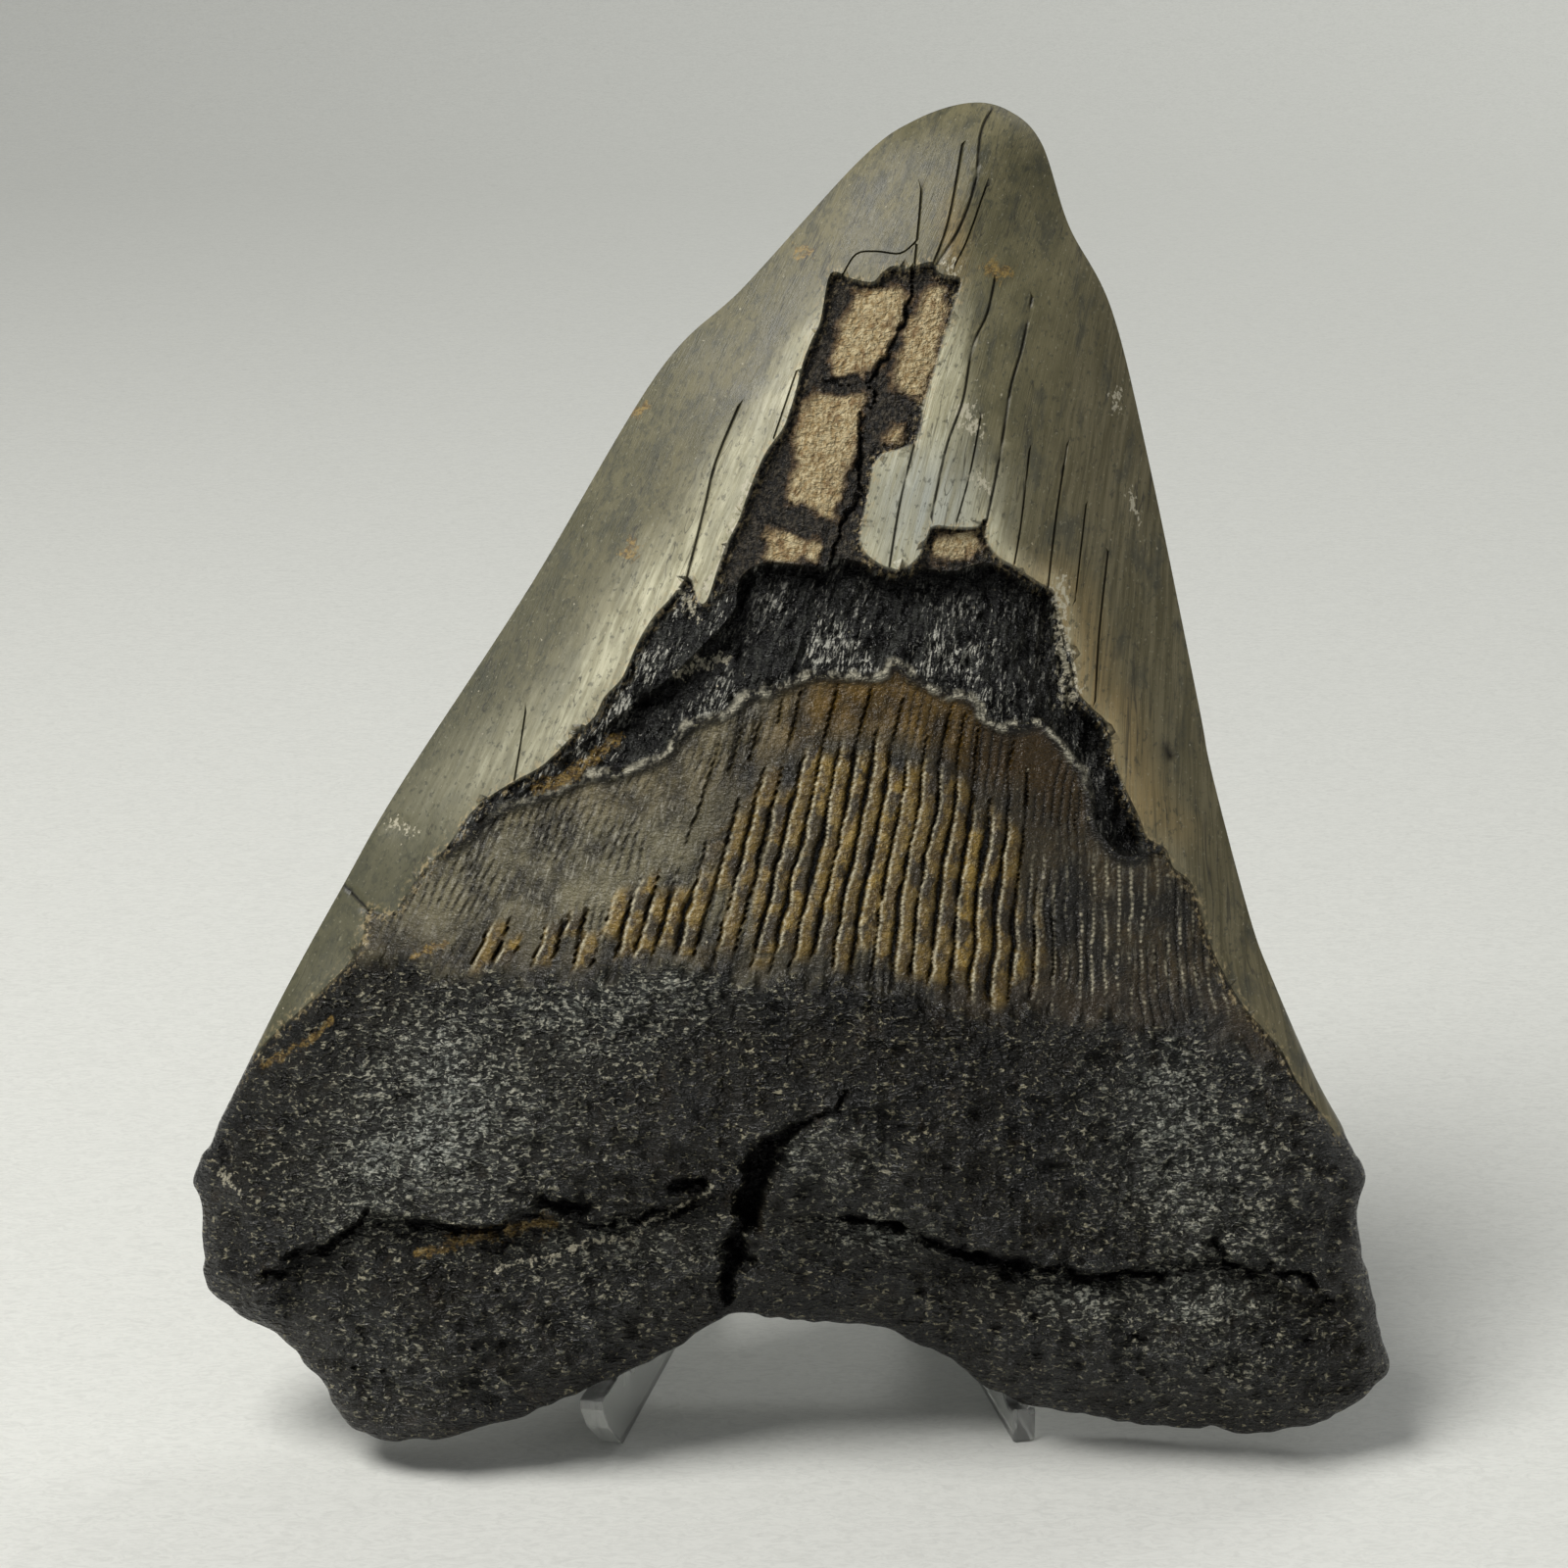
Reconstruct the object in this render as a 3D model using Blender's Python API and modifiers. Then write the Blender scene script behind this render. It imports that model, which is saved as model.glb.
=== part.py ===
"""A fossil megalodon tooth that leans back on a clear three-piece display stand."""
import math

import bmesh
import bpy
import numpy as np
from mathutils import Matrix, Vector
from mathutils.geometry import delaunay_2d_cdt

MM = 0.001

# The tooth is drawn flat: u runs right, v up its length, and w out of the face towards the viewer, all in mm.
# It then leans back by LEAN, with the lowest point of its root lobes LIFT above the floor.
LEAN = math.radians(18)
LIFT = 2.6
GAP = 0.3

# Outline of the whole tooth, clockwise from the tip, as a smooth curve through these points
OUTLINE = [
    (18.2, 135.9), (22.3, 135.1), (25.6, 131.8), (28.4, 123.4), (32.8, 114.7), (36.8, 98.2),
    (41.6, 74.7), (43.0, 67.5), (46.9, 52.7), (49.3, 46.2), (53.6, 36.4), (58.5, 27.0),
    (58.0, 21.7), (59.8, 11.9), (61.1, 6.6), (56.9, 2.9), (50.5, 0.3), (36.2, 0.6),
    (22.7, 3.0), (16.3, 7.1), (8.2, 10.8), (-1.3, 12.0), (-5.9, 12.7), (-11.5, 9.5),
    (-25.6, 3.2), (-34.1, 0.9), (-43.3, 0.2), (-48.1, 5.4), (-52.0, 10.0), (-59.4, 14.6),
    (-60.3, 23.5), (-61.1, 26.6), (-58.3, 31.9), (-51.8, 44.9), (-45.7, 56.0), (-39.8, 66.3),
    (-26.7, 86.4), (-13.5, 108.4), (-4.7, 117.2), (7.0, 130.0), (12.6, 134.1),
]

# Broken lower edge of the enamel on the shown face, from the left cutting edge round the bare window
ENAMEL_EDGE = [
    (-54.5, 38.8), (-47.4, 45.4), (-43.2, 50.9), (-38.5, 55.5), (-32.9, 62.4), (-25.3, 67.8),
    (-18.5, 75.0), (-13.7, 82.9), (-8.9, 84.6), (-5.0, 92.8), (-2.2, 99.7), (1.4, 108.8),
    (4.0, 118.0), (10.3, 118.3), (16.9, 117.0), (14.9, 108.0), (12.6, 99.0), (9.4, 88.6),
    (19.2, 88.6), (25.0, 86.2), (27.8, 78.0), (30.4, 72.4), (33.2, 64.0), (38.2, 58.6),
    (43.0, 49.0), (48.8, 41.0), (53.6, 33.2),
]
# The same edge on the back, where the enamel comes further down the root
BACK_EDGE = [
    (-56.4, 36.0), (-46.0, 39.5), (-30.0, 49.0), (-12.0, 55.0), (4.0, 56.0), (20.0, 53.0),
    (36.0, 44.0), (47.0, 36.0), (56.0, 31.0),
]
# Dark hollow under the broken shelf, between the enamel and the rim of the ribbed band
TRENCH = [
    (-17.5, 73.6), (-11.8, 81.2), (-6.2, 87.6), (4.0, 88.2), (10.0, 87.4), (19.0, 87.9),
    (24.6, 85.0), (27.0, 77.4), (29.8, 71.6), (33.0, 62.4), (30.2, 66.2), (25.6, 72.6),
    (19.6, 74.2), (12.6, 78.0), (4.2, 77.8), (-6.0, 75.2), (-13.0, 71.2), (-19.5, 68.8),
]
# Ledges across the lobes: the face steps back under each line, along an open crack
LEDGES = [
    [(-54.0, 16.0), (-49.6, 18.7), (-41.3, 23.5), (-33.0, 22.6), (-20.0, 22.9), (-9.3, 25.6), (-5.0, 26.4)],
    [(-1.0, 24.0), (5.8, 23.6), (10.7, 22.6), (18.3, 19.2), (30.4, 17.6), (42.0, 19.4), (57.0, 12.6)],
]
LEDGE_DROP = 1.3
# Cracks of the root, each with its half width and depth: along both ledges, and between the lobes
CRACKS = [
    ([(-50, 18.4), (-41, 23.2), (-30, 22.8), (-18, 22.9), (-9, 25.8)], 1.1, 1.2),
    ([(5.8, 23.4), (10.7, 22.4), (18.3, 19.2), (27, 17.9), (37, 17.3)], 1.3, 1.6),
    ([(-6.6, 11.6), (-5.8, 18.0), (-3.8, 26.0), (-2.6, 30.4), (2.0, 33.8), (9.0, 39.0)], 2.2, 3.4),
]
# Soft hollows (negative) and lumps (positive) of the shown face: centre u, v, radii, height
LUMPS = [
    (-36, 42, 15, 9, -1.3), (36, 36, 15, 9, -1.2), (6, 66, 24, 10, 1.1), (-30, 13, 16, 8, 1.0),
    (18, 33, 12, 7, 0.8), (34, 9, 18, 6, 0.9), (-14, 36, 12, 6, 0.8), (-52, 24, 7, 7, 0.9),
    (52, 24, 8, 6, 0.8), (-3, 44, 12, 5, -0.6), (-6, 52, 22, 6, 0.5),
]

# Thickness on the axis at heights v, in front of and behind the plane of the cutting edges
FRONT_DEPTH = [(30, 15.5), (45, 15.2), (60, 13.9), (75, 12.4), (90, 10.8), (105, 9.0), (118, 7.0),
               (128, 5.0), (136, 3.0)]
BACK_DEPTH = [(30, 9.4), (60, 8.6), (90, 6.6), (110, 5.0), (125, 3.6), (136, 2.2)]
# How far in from the cutting edge the crown reaches that thickness
CROWN_REACH = [(30, 40), (50, 40), (70, 34), (85, 28), (100, 22.5), (115, 17), (126, 12), (136, 5)]
ROOT_REACH = 14.0
BASE_REACH = 27.0
BASE_SHARE = 0.4
CROWN_STARTS = (30.0, 50.0)
ENAMEL_STEP = 1.0
TRENCH_STEP = 2.6

FINE = 2.35
COARSE = 3.9
WALL = 0.35

# Stand: side plates cut from sheet, toed in towards the back, with one cross bar between them
SHEET = 2.4
TOE_IN = math.radians(12.5)
FOOT_X = (-18.4, 24.1)
FOOT_FRONT = 3.2
FOOT_BACK = 58.0
REST_DEPTH = 8.6
REST_TOP = 60.0
REST_WIDTH = 9.0
# Front edge of each plate and its ledge close under the root, in w and v, from the floor back to the rest
LEFT_LEDGE = [
    (2.5, 1.2), (5.5, 3.5), (5.9, 4.4), (5.0, 4.75), (3.0, 5.2), (1.0, 5.7), (-1.0, 6.6),
    (-3.0, 7.9), (-5.0, 10.1), (-6.5, 13.0), (-REST_DEPTH, 17.5),
]
RIGHT_LEDGE = [
    (-2.6, 2.3), (-4.0, 2.0), (-5.0, 2.2), (-6.0, 2.85), (-7.0, 4.1), (-REST_DEPTH, 12.0),
]
BAR_AT = (17.5, 14.5)
BAR_HEIGHT = 9.0
SOFT_EDGE = 0.35


def spline(points, step, closed=True):
    """Points about step apart on a smooth curve through the given ones."""
    count = len(points)
    made = []
    for i in range(count if closed else count - 1):
        p = [Vector(points[(i + k) % count] if closed else points[min(max(i + k, 0), count - 1)])
             for k in (-1, 0, 1, 2)]
        parts = max(1, round((p[2] - p[1]).length / step))
        for k in range(parts):
            t = k / parts
            bend = (2 * p[0] - 5 * p[1] + 4 * p[2] - p[3]) * t * t
            twist = (3 * p[1] - p[0] - 3 * p[2] + p[3]) * t ** 3
            made.append(0.5 * (2 * p[1] + (p[2] - p[0]) * t + bend + twist))
    if not closed:
        made.append(Vector(points[-1]))
    return np.array([tuple(p) for p in made])


def distance(points, line, closed=False):
    """Distance from each point to a polyline."""
    ends = np.roll(line, -1, axis=0)
    starts = line
    if not closed:
        starts, ends = line[:-1], ends[:-1]
    nearest = np.full(len(points), np.inf)
    for a, b in zip(starts, ends):
        run = b - a
        t = np.clip((points - a) @ run / max(run @ run, 1e-12), 0, 1)
        nearest = np.minimum(nearest, np.hypot(*(points - a - t[:, None] * run).T))
    return nearest


def inside(points, loop):
    """Whether each point lies inside a closed polyline."""
    crossings = np.zeros(len(points), int)
    for a, b in zip(loop, np.roll(loop, -1, axis=0)):
        level = (a[1] > points[:, 1]) != (b[1] > points[:, 1])
        if level.any():
            side = a[0] + (points[:, 1] - a[1]) * (b[0] - a[0]) / (b[1] - a[1] + 1e-12)
            crossings += level & (points[:, 0] < side)
    return crossings % 2 == 1


def smooth(x, low, high):
    t = np.clip((x - low) / (high - low), 0, 1)
    return t * t * (3 - 2 * t)


def along(v, stations):
    """A value that changes smoothly from station to station up the tooth."""
    at, value = np.array(stations, float).T
    slope = np.gradient(value, at)
    i = np.clip(np.searchsorted(at, v) - 1, 0, len(at) - 2)
    run = at[i + 1] - at[i]
    t = np.clip((v - at[i]) / run, 0, 1)
    rise = value[i + 1] - value[i]
    return (value[i] + t * t * (3 - 2 * t) * rise + t * (1 - t) ** 2 * run * slope[i]
            - t * t * (1 - t) * run * slope[i + 1])


def below_edge(edge):
    """Closed loop of the bare region under an enamel edge."""
    return np.array([*map(tuple, edge), (80.0, edge[-1][1]), (80.0, -20.0), (-80.0, -20.0),
                     (-80.0, edge[0][1])])


def middle(points):
    """The root's lower edge comes forward under the left lobe and goes back under the right one."""
    u, v = points.T
    shift = 0.5 - 4.9 * np.tanh((u - 2.5) / 12)
    return shift * (1 - smooth(v, 16, 32)) * (1 - smooth(abs(u), 34, 52))


def body(points, rim, depths, root_depth, slope_share=0.0):
    """Height over the plane of the cutting edges: a lens with a sharp edge above, a blunt root below."""
    v = points[:, 1]
    lens = 1 - (1 - np.clip(rim / along(v, CROWN_REACH), 0, 1)) ** 2
    blunt = np.sqrt(1 - (1 - np.clip(rim / ROOT_REACH, 0, 1)) ** 2)
    blunt += slope_share * (1 - (1 - np.clip(rim / BASE_REACH, 0, 1)) ** 2 - blunt)
    crown = smooth(v, *CROWN_STARTS)
    part = blunt + (lens - blunt) * crown
    depth = root_depth + (along(v, depths) - root_depth) * crown
    return depth * part, part


def under_ledge(u, v):
    """How far the face steps back under the ledges: all at once below the line, less further down."""
    drop = np.zeros(len(u))
    for line in LEDGES:
        at_u, at_v = np.array(line).T
        under = np.interp(u, at_u, at_v) - v
        ends = smooth(u, at_u[0], at_u[0] + 4) * smooth(u, at_u[-1], at_u[-1] - 4)
        drop += ends * smooth(under, -0.5, 0.5) * (1 - smooth(under, 2, 12))
    return LEDGE_DROP * drop


def front_height(points, rim, edge, trench):
    u, v = points.T
    boss = 9.6 + 6.9 * np.exp(-((u + 2) / 34) ** 2) * np.exp(-((v - 38) / 25) ** 2)
    height, part = body(points, rim, FRONT_DEPTH, boss, BASE_SHARE)
    height -= under_ledge(u, v) * smooth(part, 0.3, 0.8)
    height += middle(points) * (1 - part)
    for at_u, at_v, wide, high, size in LUMPS:
        height += size * part * np.exp(-((u - at_u) / wide) ** 2 - ((v - at_v) / high) ** 2)
    for line, half, deep in CRACKS:
        near = distance(points, spline(line, 2, closed=False))
        height -= deep * np.clip(1 - near / half, 0, 1) * smooth(part, 0, 0.5)
    bare = np.where(inside(points, below_edge(edge)), 1, -1) * distance(points, edge)
    step = ENAMEL_STEP * smooth(bare, -WALL, WALL) * smooth(rim, 1.5, 6)
    hollow = np.where(inside(points, trench), 1, -1) * distance(points, trench, closed=True)
    return height - step - TRENCH_STEP * smooth(hollow, -WALL, 2 * WALL)


def back_height(points, rim, edge):
    u, v = points.T
    height, part = body(points, rim, BACK_DEPTH, 7.6 + 1.9 * np.exp(-(u / 38) ** 2))
    height -= middle(points) * (1 - part)
    bare = np.where(inside(points, below_edge(edge)), 1, -1) * distance(points, edge)
    height -= 0.5 * ENAMEL_STEP * smooth(bare, -WALL, WALL) * smooth(rim, 1.5, 6)
    hollow = np.exp(-((u - 2) / 22) ** 2 - ((v - 24) / 12) ** 2)
    return height - 1.1 * part * hollow


def lattice(outline, step, lines):
    """Points of one face: rings close behind the rim, both sides of each line, an even spread between."""
    inward = np.roll(outline, -1, axis=0) - np.roll(outline, 1, axis=0)
    inward = np.stack([inward[:, 1], -inward[:, 0]], 1) / np.linalg.norm(inward, axis=1)[:, None]
    rings = [(0.7, outline + 0.7 * inward), (2.2, outline + 2.2 * inward), (4.4, outline + 4.4 * inward)]
    kept = [ring[distance(ring, outline, closed=True) > 0.93 * deep] for deep, ring in rings]
    features = []
    for line in lines:
        side = np.gradient(line, axis=0)
        side = np.stack([-side[:, 1], side[:, 0]], 1) / np.linalg.norm(side, axis=1)[:, None]
        for offset in (-WALL, WALL):
            moved = line + offset * side
            features.append(moved[distance(moved, outline, closed=True) > 0.5])
    fixed = np.concatenate(kept + features)
    rows = np.arange(outline[:, 1].min(), outline[:, 1].max(), step * math.sqrt(0.75))
    spread = [(u + (0.5 * step if i % 2 else 0), v) for i, v in enumerate(rows)
              for u in np.arange(outline[:, 0].min(), outline[:, 0].max(), step)]
    spread = np.array(spread)
    spread = spread[inside(spread, outline)]
    spread = spread[distance(spread, outline, closed=True) > 4.4 + 0.5 * step]
    clear = [np.hypot(*(fixed - p).T).min() > 0.62 * step for p in spread]
    ordered = [fixed[0]]
    for p in fixed[1:]:
        if np.hypot(*(np.array(ordered) - p).T).min() > 0.3:
            ordered.append(p)
    return np.concatenate([np.array(ordered), spread[np.array(clear)]])


def make_material(name, colour, roughness, clear=0.0):
    material = bpy.data.materials.new(name)
    material.use_nodes = True
    shader = material.node_tree.nodes["Principled BSDF"]
    shader.inputs["Base Color"].default_value = (*colour, 1)
    shader.inputs["Roughness"].default_value = roughness
    shader.inputs["Transmission Weight"].default_value = clear
    material.diffuse_color = (*colour, 1 - 0.6 * clear)
    return material


def add_object(name, mesh, material, collection):
    made = bpy.data.objects.new(name, mesh)
    made.data.materials.append(material)
    collection.objects.link(made)
    return made


def face_sheet(outline, step, lines, height):
    """Triangles of one face over the outline, whose first points are the outline itself."""
    points = np.concatenate([outline, lattice(outline, step, lines)])
    count = len(outline)
    loop = [(i, (i + 1) % count) for i in range(count)]
    flat, _, faces, _, _, _ = delaunay_2d_cdt([Vector(p) for p in points], loop, [], 1, 1e-6)
    flat = np.array([tuple(p) for p in flat])
    return flat, faces, height(flat, distance(flat, outline, closed=True))


def make_tooth(collection):
    """Two relief faces on one outline. They share the outline's points, so they close into one solid."""
    outline = spline(OUTLINE, 2.5)
    edge = spline(ENAMEL_EDGE, 2.2, closed=False)
    trench = spline(TRENCH, 2.2)
    back_edge = spline(BACK_EDGE, 3.6, closed=False)
    cracks = [spline(line, 2.4, closed=False) for line, _, _ in CRACKS]
    front = face_sheet(outline, FINE, [edge, trench, *cracks],
                       lambda p, rim: front_height(p, rim, edge, trench))
    back = face_sheet(outline, COARSE, [back_edge],
                      lambda p, rim: back_height(p, rim, back_edge))
    rim_count = len(outline)
    mesh = bmesh.new()
    rim = [mesh.verts.new((*p, w)) for p, w in zip(front[0][:rim_count], middle(front[0][:rim_count]))]
    for (flat, faces, height), side in ((front, 1), (back, -1)):
        corners = rim + [mesh.verts.new((*p, side * h)) for p, h in zip(flat[rim_count:], height[rim_count:])]
        for face in faces:
            mesh.faces.new([corners[i] for i in (face if side > 0 else reversed(face))])
    bmesh.ops.transform(mesh, matrix=stance() @ Matrix.Scale(MM, 4), verts=mesh.verts)
    bmesh.ops.recalc_face_normals(mesh, faces=mesh.faces)
    tooth = bpy.data.meshes.new("tooth")
    mesh.to_mesh(tooth)
    mesh.free()
    tooth.shade_smooth()
    return add_object("tooth", tooth, make_material("fossil", (0.12, 0.11, 0.09), 0.5), collection)


def stance():
    """From the tooth's flat drawing to where it leans: u is X, v leans back, w faces the viewer."""
    return Matrix(((1, 0, 0, 0), (0, math.sin(LEAN), -math.cos(LEAN), 0),
                   (0, math.cos(LEAN), math.sin(LEAN), LIFT * MM), (0, 0, 0, 1)))


def leaning(w, v):
    """Place of a point of the tooth's side view in the stand's side view, in mm."""
    return (v * math.sin(LEAN) - w * math.cos(LEAN), LIFT + v * math.cos(LEAN) + w * math.sin(LEAN))


def plate_outline(ledge):
    """Side view of a plate: a foot, a ledge under the root, and a rest that leans with the tooth."""
    top = leaning(-REST_DEPTH, REST_TOP)
    back = leaning(-REST_DEPTH - REST_WIDTH, REST_TOP - 3)
    waist = leaning(-REST_DEPTH - REST_WIDTH, 17.0)
    return [
        (FOOT_FRONT, 0), *[leaning(w, v) for w, v in ledge],
        top, (top[0] + 3.2, top[1] + 2.0), (back[0] - 1.5, back[1] + 1.2), back,
        waist, (waist[0] + 3.5, 9.5), (waist[0] + 12.0, 6.2), (FOOT_BACK - 1.0, 4.2),
        (FOOT_BACK, 3.2), (FOOT_BACK, 0),
    ]


def make_plate(name, x, toe_in, ledge, material, collection):
    """A flat sheet stood upright and turned by toe_in about its front, which still shows the side view."""
    curve = bpy.data.curves.new(name, "CURVE")
    curve.dimensions = "2D"
    curve.fill_mode = "BOTH"
    curve.extrude = 0.5 * SHEET * MM
    line = curve.splines.new("POLY")
    corners = plate_outline(ledge)
    line.points.add(len(corners) - 1)
    for point, (y, z) in zip(line.points, corners):
        point.co = ((y - FOOT_FRONT) / math.cos(toe_in) * MM, z * MM, 0, 1)
    line.use_cyclic_u = True
    drawn = bpy.data.objects.new(name + "_drawn", curve)
    collection.objects.link(drawn)
    seen = drawn.evaluated_get(bpy.context.evaluated_depsgraph_get())
    mesh = bpy.data.meshes.new_from_object(seen)
    bpy.data.objects.remove(drawn)
    shape = bmesh.new()
    shape.from_mesh(mesh)
    bmesh.ops.remove_doubles(shape, verts=shape.verts, dist=1e-7)
    bmesh.ops.recalc_face_normals(shape, faces=shape.faces)
    shape.to_mesh(mesh)
    shape.free()
    plate = add_object(name, mesh, material, collection)
    upright = Matrix(((0, 0, 1, 0), (1, 0, 0, 0), (0, 1, 0, 0), (0, 0, 0, 1)))
    place = Matrix.Translation((x * MM, FOOT_FRONT * MM, 0))
    plate.matrix_world = place @ Matrix.Rotation(-toe_in, 4, "Z") @ upright
    return plate


def soften(piece, width):
    bevel = piece.modifiers.new("soft edges", "BEVEL")
    bevel.width = width * MM
    bevel.segments = 2
    bevel.limit_method = "ANGLE"


def inner_face(x, toe_in, y):
    """X of a plate's inner side at depth y."""
    reach = (y - FOOT_FRONT) * math.tan(toe_in)
    return x + reach + math.copysign(0.5 * SHEET / math.cos(toe_in), toe_in)


def make_bar(material, collection):
    """Cross bar between the plates, with ends cut to their toe-in."""
    y, z = BAR_AT
    mesh = bpy.data.meshes.new("cross_bar")
    shape = bmesh.new()
    bmesh.ops.create_cube(shape, size=1)
    for vert in shape.verts:
        at_y = y + vert.co.y * SHEET
        left = vert.co.x < 0
        x = inner_face(FOOT_X[0] if left else FOOT_X[1], TOE_IN if left else -TOE_IN, at_y)
        vert.co = Vector((x + (GAP if left else -GAP), at_y, z + vert.co.z * BAR_HEIGHT)) * MM
    shape.to_mesh(mesh)
    shape.free()
    return add_object("cross_bar", mesh, material, collection)


def clear_scene():
    for old in list(bpy.data.objects):
        bpy.data.objects.remove(old, do_unlink=True)


def centre(pieces):
    """Moves all so that the origin is at the bottom centre of the whole object's box."""
    bpy.context.view_layer.update()
    corners = np.array([piece.matrix_world @ v.co for piece in pieces for v in piece.data.vertices])
    low, high = corners.min(axis=0), corners.max(axis=0)
    shift = Vector((-0.5 * (low[0] + high[0]), -0.5 * (low[1] + high[1]), -low[2]))
    for piece in pieces:
        piece.matrix_world = Matrix.Translation(shift) @ piece.matrix_world
    print("shift to the origin in mm:", [round(1000 * s, 4) for s in shift])


def main():
    clear_scene()
    collection = bpy.data.collections.new("megalodon_tooth")
    bpy.context.scene.collection.children.link(collection)
    acrylic = make_material("clear_acrylic", (0.95, 0.97, 0.97), 0.05, clear=1.0)
    tooth = make_tooth(collection)
    left = make_plate("stand_plate_left", FOOT_X[0], TOE_IN, LEFT_LEDGE, acrylic, collection)
    right = make_plate("stand_plate_right", FOOT_X[1], -TOE_IN, RIGHT_LEDGE, acrylic, collection)
    bar = make_bar(acrylic, collection)
    centre([tooth, left, right, bar])
    for piece in (left, right, bar):
        soften(piece, SOFT_EDGE)


main()
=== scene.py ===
"""Looks of a fossil megalodon tooth on its clear stand: fine relief, materials, light and camera."""
import math
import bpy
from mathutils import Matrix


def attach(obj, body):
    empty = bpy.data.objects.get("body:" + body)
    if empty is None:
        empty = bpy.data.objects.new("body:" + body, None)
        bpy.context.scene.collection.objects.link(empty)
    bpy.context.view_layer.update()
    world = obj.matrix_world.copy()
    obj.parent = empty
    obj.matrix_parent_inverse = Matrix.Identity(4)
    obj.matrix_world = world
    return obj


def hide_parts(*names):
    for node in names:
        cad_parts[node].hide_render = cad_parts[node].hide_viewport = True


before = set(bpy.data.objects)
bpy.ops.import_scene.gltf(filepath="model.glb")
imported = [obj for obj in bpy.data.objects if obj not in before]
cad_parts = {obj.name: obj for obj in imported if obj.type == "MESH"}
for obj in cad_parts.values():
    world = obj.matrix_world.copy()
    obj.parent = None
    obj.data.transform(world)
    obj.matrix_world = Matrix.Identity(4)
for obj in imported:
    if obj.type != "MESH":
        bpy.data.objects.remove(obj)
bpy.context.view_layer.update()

from types import SimpleNamespace

import bpy
import numpy as np
from mathutils import Vector
from mathutils.geometry import delaunay_2d_cdt

MM = 0.001

# The tooth is drawn flat, in mm: u runs right, v up its length, w out of the face towards the viewer.
LEAN = math.radians(18)
LIFT = 2.6
SET_BACK = -26.198

# The photograph's frame: mm to a pixel, and the pixel of u = 0, v = 0
PER_PIXEL = 0.1
ZERO_PIXEL = (806.7, 1464.0)
FRAME_PIXELS = 1600
LENS, SENSOR = 85, 36.0

# Studio, in metres and watts. Lights: name, place, target, size, power, colour
AIM = (0, 0, 0.06)
LIGHTS = [
    ("key", (-0.37, -0.22, 0.76), AIM, 0.45, 7.1, (1, 0.985, 0.955)),
    ("fill", (0.7, -0.6, 0.5), AIM, 0.9, 0.5, (1, 1, 1)),
    ("wall", (0.72, 0.85, 1.1), (0.62, 1.2, 0.1), 0.8, 6.2, (1, 1, 0.98)),
]
SKY_COLOUR, SKY_STRENGTH = (0.95, 0.97, 1), 0.19
# Floor: its front edge, where it bends up, the bend's radius, the wall's top and half the width
FLOOR_FRONT, FLOOR_BEND, FLOOR_RADIUS, WALL_TOP, FLOOR_HALF = -1.6, 0.8, 0.5, 2.4, 2.4

# Outline of the whole tooth, clockwise from the tip, as the solid has it
OUTLINE = [
    (18.2, 135.9), (22.3, 135.1), (25.6, 131.8), (28.4, 123.4), (32.8, 114.7), (36.8, 98.2),
    (41.6, 74.7), (43, 67.5), (46.9, 52.7), (49.3, 46.2), (53.6, 36.4), (58.5, 27),
    (58, 21.7), (59.8, 11.9), (61.1, 6.6), (56.9, 2.9), (50.5, 0.3), (36.2, 0.6),
    (22.7, 3), (16.3, 7.1), (8.2, 10.8), (-1.3, 12), (-5.9, 12.7), (-11.5, 9.5),
    (-25.6, 3.2), (-34.1, 0.9), (-43.3, 0.2), (-48.1, 5.4), (-52, 10), (-59.4, 14.6),
    (-60.3, 23.5), (-61.1, 26.6), (-58.3, 31.9), (-51.8, 44.9), (-45.7, 56), (-39.8, 66.3),
    (-26.7, 86.4), (-13.5, 108.4), (-4.7, 117.2), (7, 130), (12.6, 134.1),
]

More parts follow.
